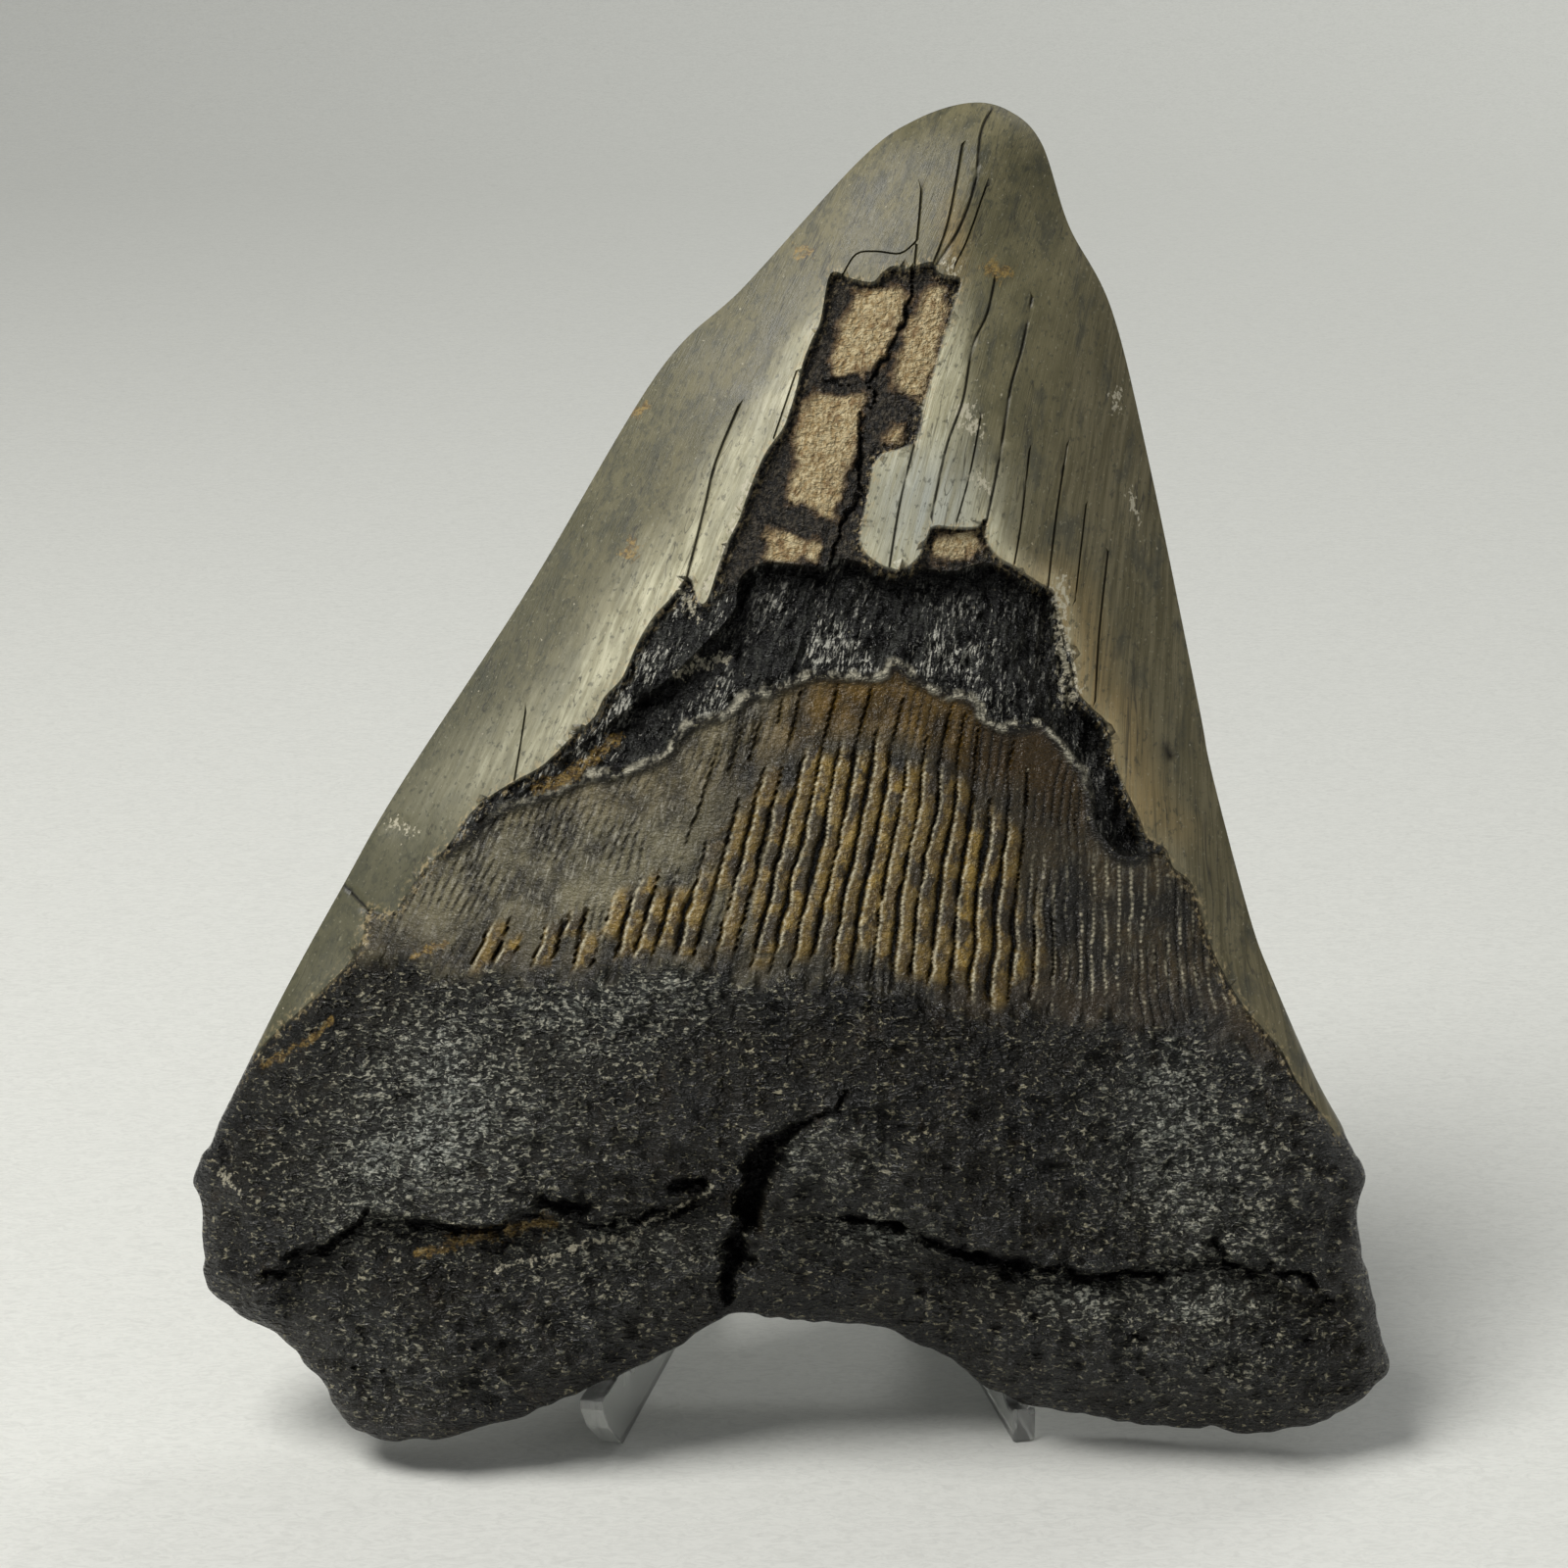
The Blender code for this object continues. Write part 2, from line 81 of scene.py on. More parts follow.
# Broken lower edge of the enamel on the shown face, from the left cutting edge to the right one
ENAMEL_EDGE = [
    (-56.5, 36.2), (-54.5, 38.8), (-52.5, 40.8), (-49.9, 43.1), (-47.4, 45.4), (-44.8, 48),
    (-43.2, 50.9), (-42.9, 53.5), (-41.3, 53.2), (-39.8, 53.5), (-38.5, 55.5), (-36.5, 58.1),
    (-34.4, 60.1), (-32.9, 62.4), (-30.9, 64.5), (-27.8, 66.5), (-25.3, 67.8), (-23.7, 69.1),
    (-21.9, 70.9), (-19.6, 72.9), (-18.5, 75), (-16.7, 77), (-15.2, 80.4), (-13.7, 82.9),
    (-11.9, 84.9), (-10.5, 86.7), (-9.9, 86.6), (-9.5, 85.2), (-8.9, 84.2), (-8.1, 84.9),
    (-7.1, 88), (-6.2, 90.4), (-5, 92.8), (-4.3, 94.9), (-3.2, 97.7), (-2.2, 99.7),
    (-0.7, 101.8), (0, 103.6), (0.6, 105.6), (1.4, 108.8), (2.3, 111.1), (3.1, 112.9),
    (3.9, 117.3), (4.6, 117.9), (5.9, 117.2), (8.2, 116.7), (9.3, 117.7), (10.3, 118.3),
    (11.5, 118), (14.1, 118.6), (15, 117.4), (16.9, 117), (16.7, 115.4), (15.7, 112.4),
    (14.9, 109.7), (14, 106.6), (13.2, 104), (12.6, 100.9), (10.9, 99.8), (9, 99.2),
    (8.2, 97.8), (7.7, 95.2), (7.1, 92.5), (6.9, 90.2), (7.9, 88.7), (9.8, 87.7), (11.3, 87.7),
    (12.8, 89), (13.6, 90.9), (14.2, 91.9), (16.4, 91.8), (18.6, 91.9), (19.3, 92.7),
    (19.5, 90.6), (20.5, 89), (22.4, 87.9), (24.7, 86.4), (26.2, 85.6), (27, 82.8),
    (27.8, 80.1), (28.5, 77.4), (28.7, 75.5), (30.1, 73.9), (31.6, 72.4), (32.4, 69),
    (33.5, 65.9), (35, 62.8), (35.8, 60.9), (37.7, 59.8), (38.5, 57.9), (40.4, 56.3),
    (41.6, 52.9), (42.3, 50.2), (43.9, 46.8), (45.8, 43.7), (48.4, 40.8), (49.6, 39.3),
    (50.9, 36.6), (53.2, 33.5), (55.4, 30.6),
]
# The same edge on the back, where the enamel comes further down the root
BACK_EDGE = [
    (-57.4, 34.5), (-46, 39.5), (-30, 49), (-12, 55), (4, 56), (20, 53),
    (36, 44), (47, 36), (56.6, 30),
]
# Upper edge of the dark hollow under the broken shelf, left to right
SHELF = [
    (-15.6, 74.4), (-12.6, 76.4), (-10.1, 78.7), (-7.8, 81), (-5.5, 83.7), (-5, 86.7),
    (-2.9, 88.3), (-0.2, 88.2), (3.3, 87.9), (4.4, 88.7), (7.1, 88.3), (8.2, 87.5), (10.5, 87.1),
    (12.1, 87.9), (13.6, 87.7), (16.3, 87.5), (19, 88.3), (20.9, 87.9), (22.8, 86.7),
    (25.3, 85.8), (26.4, 83), (27.2, 80.1), (28, 76.6), (28.9, 74), (31.1, 72),
    (31.9, 69), (33, 65.9), (34.4, 62.8), (35.2, 60.9),
]
# Rim of the ribbed band, where the hollow ends, left to right
RIM = [
    (-34.4, 59.9), (-32.4, 61.5), (-30.5, 63.4), (-28.2, 64.5), (-24.4, 65.7), (-20.2, 67.4),
    (-16.8, 67.9), (-12.9, 69.3), (-11.8, 70.9), (-9.9, 72.6), (-6.7, 73.6), (-4.4, 75.5),
    (-1.7, 75.9), (1, 77.2), (4.8, 77.4), (8.6, 77.4), (10.2, 78.7), (12.1, 77.2),
    (14.8, 75.9), (17.8, 75.1), (19.4, 73.2), (21.7, 72.2), (24.7, 72.8), (26.2, 71.7),
    (28.5, 69), (30.1, 65.9), (30.5, 62.5), (31.6, 60.9), (33.1, 59.4), (35.2, 59.4),
]
# Lower border of the ribbed band, left to right
BAND_FOOT = [(-46, 50), (-36, 47.5), (-25, 46.8), (-12, 48.2), (0, 47.5), (10, 45.5), (25, 43),
             (38, 42.5), (50, 38)]
# Areas with coarse ribs, as closed loops
RIBS = [
    [(-3.2, 64.4), (0.2, 67.4), (2.1, 69.4), (7.9, 69.9), (13.2, 67.4), (18.2, 64.8), (22.4, 60.2),
     (23.6, 54), (24, 47.6), (20, 45.2), (16.3, 46.4), (11.7, 48.4), (2.1, 49.6), (-5.1, 50)],
    [(-3, 62.4), (-12.9, 58.6), (-20.6, 54.6), (-27.5, 52.4), (-33.3, 49.8), (-34.4, 46.2),
     (-26.3, 47.4), (-18.7, 48.4), (-12.9, 49.6), (-5.3, 49.8)],
]
# Cracks of the root: line, half width, depth
ROOT_CRACKS = [
    ([(-52, 16.9), (-49.6, 18.7), (-46.9, 19.9), (-44.9, 21.1), (-42.9, 22.7), (-41.3, 23.7)], 0.7, 1.3),
    ([(-37.4, 22.3), (-32.6, 22.5), (-29.5, 22.5), (-26.3, 23.3), (-23.1, 23.1), (-18, 22.7),
      (-15.2, 23.3), (-11.7, 24.3), (-9.3, 25.4)], 0.6, 1.1),
    ([(-24.4, 24.9), (-22.7, 24.3), (-20.4, 24.3)], 1.5, 2),
    ([(-41.3, 22.4), (-36, 20.6), (-30, 20.4), (-25, 21.6)], 0.35, 0.5),
    ([(-10.6, 27), (-9.3, 26.6)], 1.7, 2.4),
    ([(5.8, 23.6), (8.5, 23), (10.7, 22.6)], 1, 1.6),
    ([(10.7, 22.6), (13, 21.4), (15.7, 20.3), (18.3, 19.2)], 1, 1.8),
    ([(18.3, 19.2), (21, 18.3), (23.7, 17.8)], 1.2, 2.2),
    ([(23.7, 17.8), (26.4, 18.1), (30.4, 17.4), (37.1, 17.2)], 0.8, 1.5),
    ([(42, 20.5), (43.3, 19.4), (45.1, 18.3), (49.1, 17.2), (51.4, 16.7), (53.6, 14.3)], 0.7, 1.3),
    ([(34.2, 10.9), (35.4, 11.4)], 0.6, 0.9), ([(10.5, 12), (14.7, 11.6)], 0.35, 0.5),
    ([(12.4, 118), (11.7, 115.4), (10.9, 111.6), (8.6, 107.8), (7.1, 102), (6.7, 96.3),
      (4.9, 91.5), (3.9, 88.6)], 0.35, 0.8),
    ([(3.2, 107), (5.5, 106.4), (8.6, 106.9)], 0.3, 0.5),
]
# Ledges of the lobes, under which the root steps back, left to right
LEDGES = [
    [(-54, 16), (-49.6, 18.7), (-41.3, 23.5), (-33, 22.6), (-20, 22.9), (-9.3, 25.6), (-5, 26.4)],
    [(-1, 24), (5.8, 23.6), (10.7, 22.6), (18.3, 19.2), (30.4, 17.6), (42, 19.4), (57, 12.6)],
]
LEDGE_DROP = 1.3
# Soft areas: centre, radii, strength. Frost of the root, pale grains with a painted sheen and glints where
# its slopes face the lamps, the blue-grey strip and the tan one at the tip
FROST_AND_SHEEN = [
    (-34, 33, 13, 9, 1), (-24, 44, 14, 6, 0.45), (-14, 47, 12, 5, 0.5), (38, 34, 9, 12, 0.7),
    (3, 30, 6, 5, 0.6), (9, 21.5, 7, 2.5, 0.7), (-16, 21, 12, 3, 0.6), (-45, 24, 8, 6, 0.4),
    (45, 22, 8, 10, 0.4), (30, 15, 14, 3, 0.6), (-42, 9, 12, 6, 0.35), (-20, 14, 10, 5, 0.3),
    (40, 9, 12, 5, 0.3),
]
BLUE_STRIP = [(13, 94, 5.5, 6.5, 1)]
TIP_STRIP = [(16.4, 121, 1.3, 4, 0.9)]
# Tan patches in the window of bare dentine, as closed loops
PATCHES = [
    [(6.1, 116.2), (9.3, 116.6), (11.8, 116.8), (11.4, 113.4), (10.5, 111.2), (8.8, 107.9),
     (6.3, 107.2), (3.8, 106.8), (4.1, 110.4), (4.8, 113.4)],
    [(1.3, 105.6), (4.3, 105.9), (7.8, 105.4), (7.1, 101.4), (5.8, 96.4), (4.3, 92.4), (1.5, 93.4),
     (-0.7, 94.9), (-0.1, 99.4), (0.8, 103.4)],
    [(13.3, 116.8), (16.1, 116.4), (15.8, 113.4), (15.1, 109.4), (13.8, 105.2), (10.8, 105.4),
     (10.1, 106.9), (11.3, 111.4), (12.3, 114.4)],
    [(9.8, 102.4), (11.8, 102.6), (11.5, 100.4), (9.8, 99.8), (8.8, 100.9)],
    [(-1.7, 91.9), (3.3, 90.4), (2.8, 88.4), (-2.5, 87.9), (-3.2, 89.4)],
    [(14.3, 91.6), (18.3, 91.6), (19, 89.9), (17.8, 88.6), (13.8, 88.4)],
]
# Small coloured marks: line, half width
OCHRE = [
    ([(-46.2, 42.7), (-48.1, 40.8), (-50.8, 39.3), (-53.5, 37.8)], 0.5),
    ([(-34.7, 50.4), (-37.8, 49.2)], 0.5), ([(-16.4, 89.6), (-15.8, 90.4)], 1),
    ([(-25.4, 66), (-22.6, 66.8), (-20, 68.6), (-17.6, 71)], 0.9), ([(0.9, 120.4), (1.5, 120.3)], 1),
    ([(-33.4, 20.9), (-29, 22), (-24, 22.9)], 1.1), ([(-37, 19.6), (-33, 20.6)], 0.6),
    ([(20.3, 118.4), (21.5, 117.8)], 1.2), ([(-15.6, 104.2), (-14.9, 104.9)], 0.6),
]
CREAM = [
    ([(-29.9, 17.9), (-26.3, 19.1), (-23.1, 19.5), (-20, 21.1), (-16.4, 21.1), (-14, 23.1),
      (-10.1, 24.7), (-7.7, 26.6)], 0.4),
    ([(-40.7, 62.2), (-39.6, 62.3), (-38.4, 61.6)], 0.6), ([(16, 118.6), (16.3, 117.6)], 0.8),
    ([(17.2, 103.6), (18.3, 102)], 1.2), ([(18.8, 96.7), (19.8, 95.9)], 0.9),
    ([(33.2, 106.2), (33, 104.2)], 0.6), ([(34.2, 96.5), (35.2, 93)], 0.5),
    ([(26.8, 86.2), (27.2, 82), (27.7, 77.5), (27.8, 74.8)], 1.1), ([(-57, 30.4), (-56.4, 28.6)], 0.5),
    ([(-57.2, 27), (-55.4, 25.4)], 0.5), ([(-11.5, 77.2), (-9, 78.4), (-6.6, 79)], 0.7),
    ([(-10.8, 85.6), (-9.8, 83.4)], 0.7), ([(-8.6, 85.6), (-6.4, 90.4), (-4.2, 96.4)], 0.4),
]
# The groove between the lobes, with its half width at each point
GROOVE = [
    (-6.4, 12.2, 0.5), (-6.8, 15, 0.9), (-5.5, 18.4, 1.2), (-4.3, 22.8, 1.6), (-3.5, 27, 1.9),
    (-2.6, 29.6, 1.6), (-0.8, 31.6, 0.9), (1.6, 33.2, 0.6), (4, 34.8, 0.35), (6.3, 36.6, 0.2),
]
GROOVE_DEPTH = 4.2
# Cracks along the enamel: line, half width
ENAMEL_CRACKS = [
    ([(20.5, 135.1), (19.3, 132.3), (18.6, 126.9), (17, 122.3), (14.7, 118.5)], 0.17),
    ([(17.4, 131.1), (15.9, 123.1), (14.3, 118.5)], 0.13),
    ([(19.7, 126.6), (17.8, 121.2), (16.5, 118.5)], 0.10),
    ([(13.2, 126.5), (13, 123.9), (12.4, 118.1)], 0.11),
    ([(5.2, 117.6), (6.6, 119.8), (8.6, 120), (11, 119.7), (12.5, 120.8)], 0.08),
    ([(20.5, 117), (19.7, 113.5), (18.2, 110.1), (17.2, 104.7), (15.5, 99.8), (14, 92.9)], 0.15),
    ([(24.3, 115.4), (23.2, 110.1), (22, 105.9), (20.7, 98.2), (19.3, 91.7), (18.6, 88.9)], 0.17),
    ([(19, 103.2), (17.8, 97.1), (16.5, 92.5)], 0.10),
    ([(12.5, 100.9), (10.9, 94.4), (9.8, 87.9)], 0.13),
    ([(27.8, 100.5), (26.6, 93.2), (25.7, 86)], 0.12),
    ([(23.9, 99.8), (23, 92.5), (22.2, 87.9)], 0.10),
    ([(29.7, 94.4), (28.5, 84.8)], 0.09),
    ([(32, 89.8), (31, 81.6), (30.5, 74.7)], 0.12),
    ([(-5.2, 104.3), (-7.5, 98.6), (-8.6, 94), (-10.3, 87.1)], 0.14),
    ([(0.6, 107.8), (-1.7, 100.9)], 0.09),
    ([(-26.7, 73.7), (-27.1, 70.7), (-27.7, 66.8)], 0.09),
    ([(-45.7, 56.2), (-43.9, 54.6), (-42.6, 53.4)], 0.22),
]
# Pits: centre, radii, depth
PITS = [
    (38.3, 69.5, 0.55, 0.95, 0.9), (-14.7, 74.9, 0.9, 0.8, 1.2), (-39.6, 62, 1.5, 0.55, 0.35),
    (-56.9, 29.2, 0.8, 1.6, 0.7), (24.2, 13, 0.5, 0.4, 0.6), (29, 8, 0.6, 0.4, 0.7),
    (45, 6.9, 0.5, 0.4, 0.6), (51.7, 10.4, 0.7, 0.5, 0.7), (19.5, 69, 2.4, 1.8, 0.5),
]
# Soft hollows (negative) and lumps (positive) of the shown face: centre u, v, radii, height
LUMPS = [
    (-36, 42, 15, 9, -1.3), (36, 36, 15, 9, -1.2), (6, 66, 24, 10, 1.1), (-30, 13, 16, 8, 1),
    (18, 33, 12, 7, 0.8), (34, 9, 18, 6, 0.9), (-14, 36, 12, 6, 0.8), (-52, 24, 7, 7, 0.9),
    (52, 24, 8, 6, 0.8), (-3, 44, 12, 5, -0.6), (-6, 52, 22, 6, 0.5),
]

# By height: how far the face and the back swell out, and how far in from the outline the crown does
FRONT_DEPTH = [(30, 15.5), (45, 15.2), (60, 13.9), (75, 12.4), (90, 10.8), (105, 9.0), (118, 7.0),
               (128, 5.0), (136, 3.0)]
BACK_DEPTH = [(30, 9.4), (60, 8.6), (90, 6.6), (110, 5.0), (125, 3.6), (136, 2.2)]
CROWN_REACH = [(30, 40), (50, 40), (70, 34), (85, 28), (100, 22.5), (115, 17), (126, 12), (136, 5)]
# The same reach for the root, its longer slope and that slope's share, and where root turns to crown
ROOT_REACH, BASE_REACH, BASE_SHARE = 14.0, 27.0, 0.4
CROWN_STARTS = (30.0, 50.0)
# The root's swelling at its edge and its rise at the middle
BOSS, BOSS_RISE = 9.6, 6.9
# Steps down from the enamel, by the root and higher up, and into the hollow, at its rim and under the shelf
LOW_STEP, ENAMEL_STEP = 0.25, 0.9
RIM_STEP, HOLLOW_STEP = 0.7, 2.6
RIB_PITCH, THREAD_PITCH, FINE_PITCH = 1.9, 1.3, 0.95
RIB_HEIGHT, RIB_GROOVE_DEPTH = 0.24, 0.55
# Width of the groove between two ribs, as a share of their pitch
GROOVE_WIDTH = 0.16
CREST_HEIGHT = 0.5
PORE_DEPTH = 0.5
ENAMEL_CRACK_DEPTH = 0.30
# Height from which the grain's fan and lean are counted
FLOW_FROM = 55
# Distances from the outline of the rows of points that follow it
RINGS = (0.25, 0.6, 1.1)

# Spacing of the mesh: ribs and broken edges, root, plain enamel, back, and along lines
FINE, MIDDLE, PLAIN, BEHIND, ON_LINE = 0.27, 0.45, 0.9, 1.1, 0.28
# Finer spacing beside the enamel's lower edge on the back, and how far it reaches to either side
BORDER, BORDER_REACH = 0.55, 1.8
# Height under which all bare surface has the root's spacing
BAND_LOW = 41.0
# Edges sharper than this are shaded as sharp
SHARP_FROM = math.radians(38)
# Places the back's clouds apart from the front's, in mm
BACK_SHIFT = 200


def spline(points, step, closed=False):
    """Points about step apart on a smooth curve through the given ones."""
    count = len(points)
    made = []
    for i in range(count if closed else count - 1):
        p = [np.array(points[(i + k) % count] if closed else points[min(max(i + k, 0), count - 1)])
             for k in (-1, 0, 1, 2)]
        parts = max(1, round(float(np.hypot(*(p[2] - p[1])[:2])) / step))
        for k in range(parts):
            t = k / parts
            bend = (2 * p[0] - 5 * p[1] + 4 * p[2] - p[3]) * t * t
            twist = (3 * p[1] - p[0] - 3 * p[2] + p[3]) * t ** 3
            made.append(0.5 * (2 * p[1] + (p[2] - p[0]) * t + bend + twist))
    if not closed:
        made.append(np.array(points[-1], float))
    return np.array(made)


def distance(points, line, closed=False, reach=None):
    """Distance to a polyline and the value that its nearest point carries; beyond reach it isn't measured."""
    line = np.asarray(line, float)
    starts, ends = line, np.roll(line, -1, axis=0)
    if not closed:
        starts, ends = starts[:-1], ends[:-1]
    nearest = np.full(len(points), 1e9 if reach is None else float(reach))
    carried = np.zeros(len(points))
    near = np.arange(len(points))
    if reach is not None:
        low, high = line[:, :2].min(axis=0) - reach, line[:, :2].max(axis=0) + reach
        near = np.nonzero(((points > low) & (points < high)).all(axis=1))[0]
    spots = points[near]
    best, value = nearest[near], carried[near]
    for a, b in zip(starts, ends):
        run = (b - a)[:2]
        t = np.clip((spots - a[:2]) @ run / max(run @ run, 1e-12), 0, 1)
        gap = np.hypot(*(spots - a[:2] - t[:, None] * run).T)
        closer = gap < best
        best = np.where(closer, gap, best)
        if line.shape[1] > 2:
            value = np.where(closer, a[2] + t * (b[2] - a[2]), value)
    nearest[near], carried[near] = best, value
    return (nearest, carried) if line.shape[1] > 2 else nearest


def inside(points, loop):
    """Whether each point lies in a closed loop."""
    crossings = np.zeros(len(points), int)
    loop = np.asarray(loop, float)
    for a, b in zip(loop, np.roll(loop, -1, axis=0)):
        level = (a[1] > points[:, 1]) != (b[1] > points[:, 1])
        if level.any():
            side = a[0] + (points[:, 1] - a[1]) * (b[0] - a[0]) / (b[1] - a[1] + 1e-12)
            crossings += level & (points[:, 0] < side)
    return crossings % 2 == 1


def signed(points, line, loop, closed=False):
    """Distance to a line, positive inside the loop that it bounds."""
    return np.where(inside(points, loop), 1, -1) * distance(points, line, closed)


def within(points, loop, step):
    """Distance inside a smooth closed curve through the given points."""
    return signed(points, spline(loop, step, closed=True), loop, closed=True)


def smooth(x, low, high):
    """Soft step from 0 at low to 1 at high; high may be the smaller of the two."""
    t = np.clip((x - low) / (high - low), 0, 1)
    return t * t * (3 - 2 * t)


def along(v, stations):
    """A value that changes smoothly from station to station up the tooth."""
    at, value = np.array(stations, float).T
    slope = np.gradient(value, at)
    i = np.clip(np.searchsorted(at, v) - 1, 0, len(at) - 2)
    run = at[i + 1] - at[i]
    t = np.clip((v - at[i]) / run, 0, 1)
    rise = value[i + 1] - value[i]
    return (value[i] + t * t * (3 - 2 * t) * rise + t * (1 - t) ** 2 * run * slope[i]
            - t * t * (1 - t) * run * slope[i + 1])


def saw_tooth(turn):
    """From 1 at whole turns down to 0 halfway between them."""
    return np.abs(turn - np.floor(turn) - 0.5) * 2


def hashed(i, j, seed):
    """Repeatable value from 0 to 1 for each cell of a lattice."""
    n = (i * 374761393 + j * 668265263 + seed * 974634777).astype(np.uint32)
    n = (n ^ (n >> np.uint32(13))) * np.uint32(1274126177)
    return ((n ^ (n >> np.uint32(16))) & np.uint32(0xFFFFFF)) / 16777215.0


def noise(u, v, size, seed):
    """Smooth random heights, from -1 to 1, with lumps about size across."""
    x, y = u / size, v / size
    i, j = np.floor(x).astype(np.int64), np.floor(y).astype(np.int64)
    s, t = x - i, y - j
    s, t = s * s * (3 - 2 * s), t * t * (3 - 2 * t)
    low = hashed(i, j, seed) * (1 - s) + hashed(i + 1, j, seed) * s
    high = hashed(i, j + 1, seed) * (1 - s) + hashed(i + 1, j + 1, seed) * s
    return 2 * (low * (1 - t) + high * t) - 1


def rough(u, v, size, seed, octaves=4):
    """Random heights with ever finer lumps, the coarsest about size across."""
    total = sum(0.55 ** k * noise(u + 31 * k, v - 17 * k, size / 2 ** k, seed + k) for k in range(octaves))
    return total / sum(0.55 ** k for k in range(octaves))


def flow_middle(v):
    """Middle line of the crown, which leans to the right."""
    x = v - FLOW_FROM
    return 8 + 0.176 * x + 0.00103 * x * x


def flow(u, v):
    """Place across the grain, in mm: the grain fans out from the tip and leans with the crown."""
    return (u - flow_middle(v)) * np.exp(0.0065 * (v - FLOW_FROM))


def below(edge):
    """Closed loop of the area under a left-to-right line."""
    edge = [tuple(p)[:2] for p in edge]
    return [*edge, (80.0, edge[-1][1]), (80.0, -20.0), (-80.0, -20.0), (-80.0, edge[0][1])]


def lower_edge_shift(u, v):
    """The root's lower edge comes forward under the left lobe and goes back under the right one."""
    shift = 0.5 - 4.9 * np.tanh((u - 2.5) / 12)
    return shift * (1 - smooth(v, 16, 32)) * (1 - smooth(abs(u), 34, 52))


def body(v, rim, depths, root_depth, slope_share=0.0):
    """Height of a swelling face, and its share of the full depth: a lens at the crown, blunt at the root."""
    lens = 1 - (1 - np.clip(rim / along(v, CROWN_REACH), 0, 1)) ** 2
    blunt = np.sqrt(1 - (1 - np.clip(rim / ROOT_REACH, 0, 1)) ** 2)
    blunt += slope_share * (1 - (1 - np.clip(rim / BASE_REACH, 0, 1)) ** 2 - blunt)
    crown = smooth(v, *CROWN_STARTS)
    part = blunt + (lens - blunt) * crown
    return (root_depth + (along(v, depths) - root_depth) * crown) * part, part


def under_ledge(u, v):
    """How far the root steps back under its ledges."""
    drop = np.zeros(len(u))
    for ledge in LEDGES:
        at_u, at_v = np.array(ledge).T
        under = np.interp(u, at_u, at_v) - v + 0.4 * noise(u, v, 3.0, 35)
        ends = smooth(u, at_u[0], at_u[0] + 4) * smooth(u, at_u[-1], at_u[-1] - 4)
        drop += ends * smooth(under, -0.35, 0.35) * (1 - smooth(under, 0.5, 9))
    return LEDGE_DROP * drop


def pores(u, v, cell, share, seed):
    """Round pits strewn over a share of the cells of a lattice."""
    i, j = np.floor(u / cell).astype(np.int64), np.floor(v / cell).astype(np.int64)
    at_u, at_v = i + 0.3 + 0.4 * hashed(i, j, seed), j + 0.3 + 0.4 * hashed(i, j, seed + 1)
    wide = cell * (0.10 + 0.14 * hashed(i, j, seed + 2))
    away = np.hypot(u - cell * at_u, v - cell * at_v)
    return (hashed(i, j, seed + 3) < share) * smooth(away, 1.3 * wide, 0.4 * wide)


def spread(u, v, areas):
    """Soft areas, each with its centre, radii and strength."""
    return sum(size * np.exp(-((u - at_u) / wide) ** 2 - ((v - at_v) / high) ** 2)
               for at_u, at_v, wide, high, size in areas)


def marks(points, lines, seed):
    """Ragged marks along short lines."""
    ragged = 1 + 0.5 * noise(*points.T, 0.8, seed)
    return np.max([smooth(distance(points, np.array(line), reach=3.0), 1.8 * half * ragged, 0.1 * half)
                   for line, half in lines], axis=0)


def swell(f):
    """Overall form, with the step under the ledges of the lobes."""
    u, v = f.u, f.v
    boss = BOSS + BOSS_RISE * np.exp(-((u + 2) / 34) ** 2) * np.exp(-((v - 38) / 25) ** 2)
    f.height, f.part = body(v, f.rim, FRONT_DEPTH, boss, BASE_SHARE)
    f.height += lower_edge_shift(u, v) * (1 - f.part) + f.part * spread(u, v, LUMPS)
    f.height -= 1.5 * under_ledge(u, v) * smooth(f.part, 0.3, 0.8)


def break_enamel(f):
    """Step along the broken enamel, and the hollow between shelf and band."""
    u, v, points = f.u, f.v, f.points
    edge, shelf, band_rim = (spline(line, 0.5) for line in (ENAMEL_EDGE, SHELF, RIM))
    ragged = 0.16 * noise(u, v, 1.1, 28) + 0.04 * noise(u, v, 0.5, 29)
    f.bare = signed(points, edge, below(edge)) + ragged
    f.enamel = smooth(f.bare, 0.08, -0.08)
    f.open = 1 - f.enamel
    step = LOW_STEP + (ENAMEL_STEP - LOW_STEP) * smooth(v, 56, 80)
    f.height -= step * f.open * f.settled
    around = np.concatenate([shelf, band_rim[::-1]])
    f.hollow = signed(points, around, around, closed=True)
    f.band = signed(points, band_rim, below(band_rim))
    f.under_shelf = smooth(distance(points, shelf), 7.0, 0.0)
    f.in_hollow = smooth(f.hollow, -0.1, 0.35)
    f.height -= f.in_hollow * (RIM_STEP + (HOLLOW_STEP - RIM_STEP) * f.under_shelf)


def crumble(f):
    """Crumbs and fibres of the hollow, and the window with its raised patches."""
    u, v, grain = f.u, f.v, f.grain
    crumbs, grit = rough(u, v, 2.4, 21), rough(u, v, 0.9, 22)
    fibres = noise(grain, 0.28 * v, 0.8, 23) + 0.6 * noise(grain, 0.4 * v, 0.45, 24)
    rubble = f.open * smooth(f.band, 0.3, -0.6) * smooth(v, 57, 62)
    f.window = rubble * smooth(f.hollow, 0.2, -0.4) * smooth(v, 84, 88)
    f.rubble = rubble * (1 - f.window)
    patch = np.max([within(f.points, loop, 0.7) for loop in PATCHES], axis=0)
    patch += 0.55 * noise(u, v, 1.2, 25) + 0.25 * noise(u, v, 0.6, 20)
    f.core = smooth(patch, 0.1, 1.1) * f.window
    f.patch = smooth(patch, -0.2, 0.3) * f.window
    f.height += f.rubble * (0.85 * crumbs + 0.42 * grit + 0.42 * fibres)
    f.height += f.window * (0.14 * crumbs + 0.12 * grit - 0.32 * (1 - f.patch))


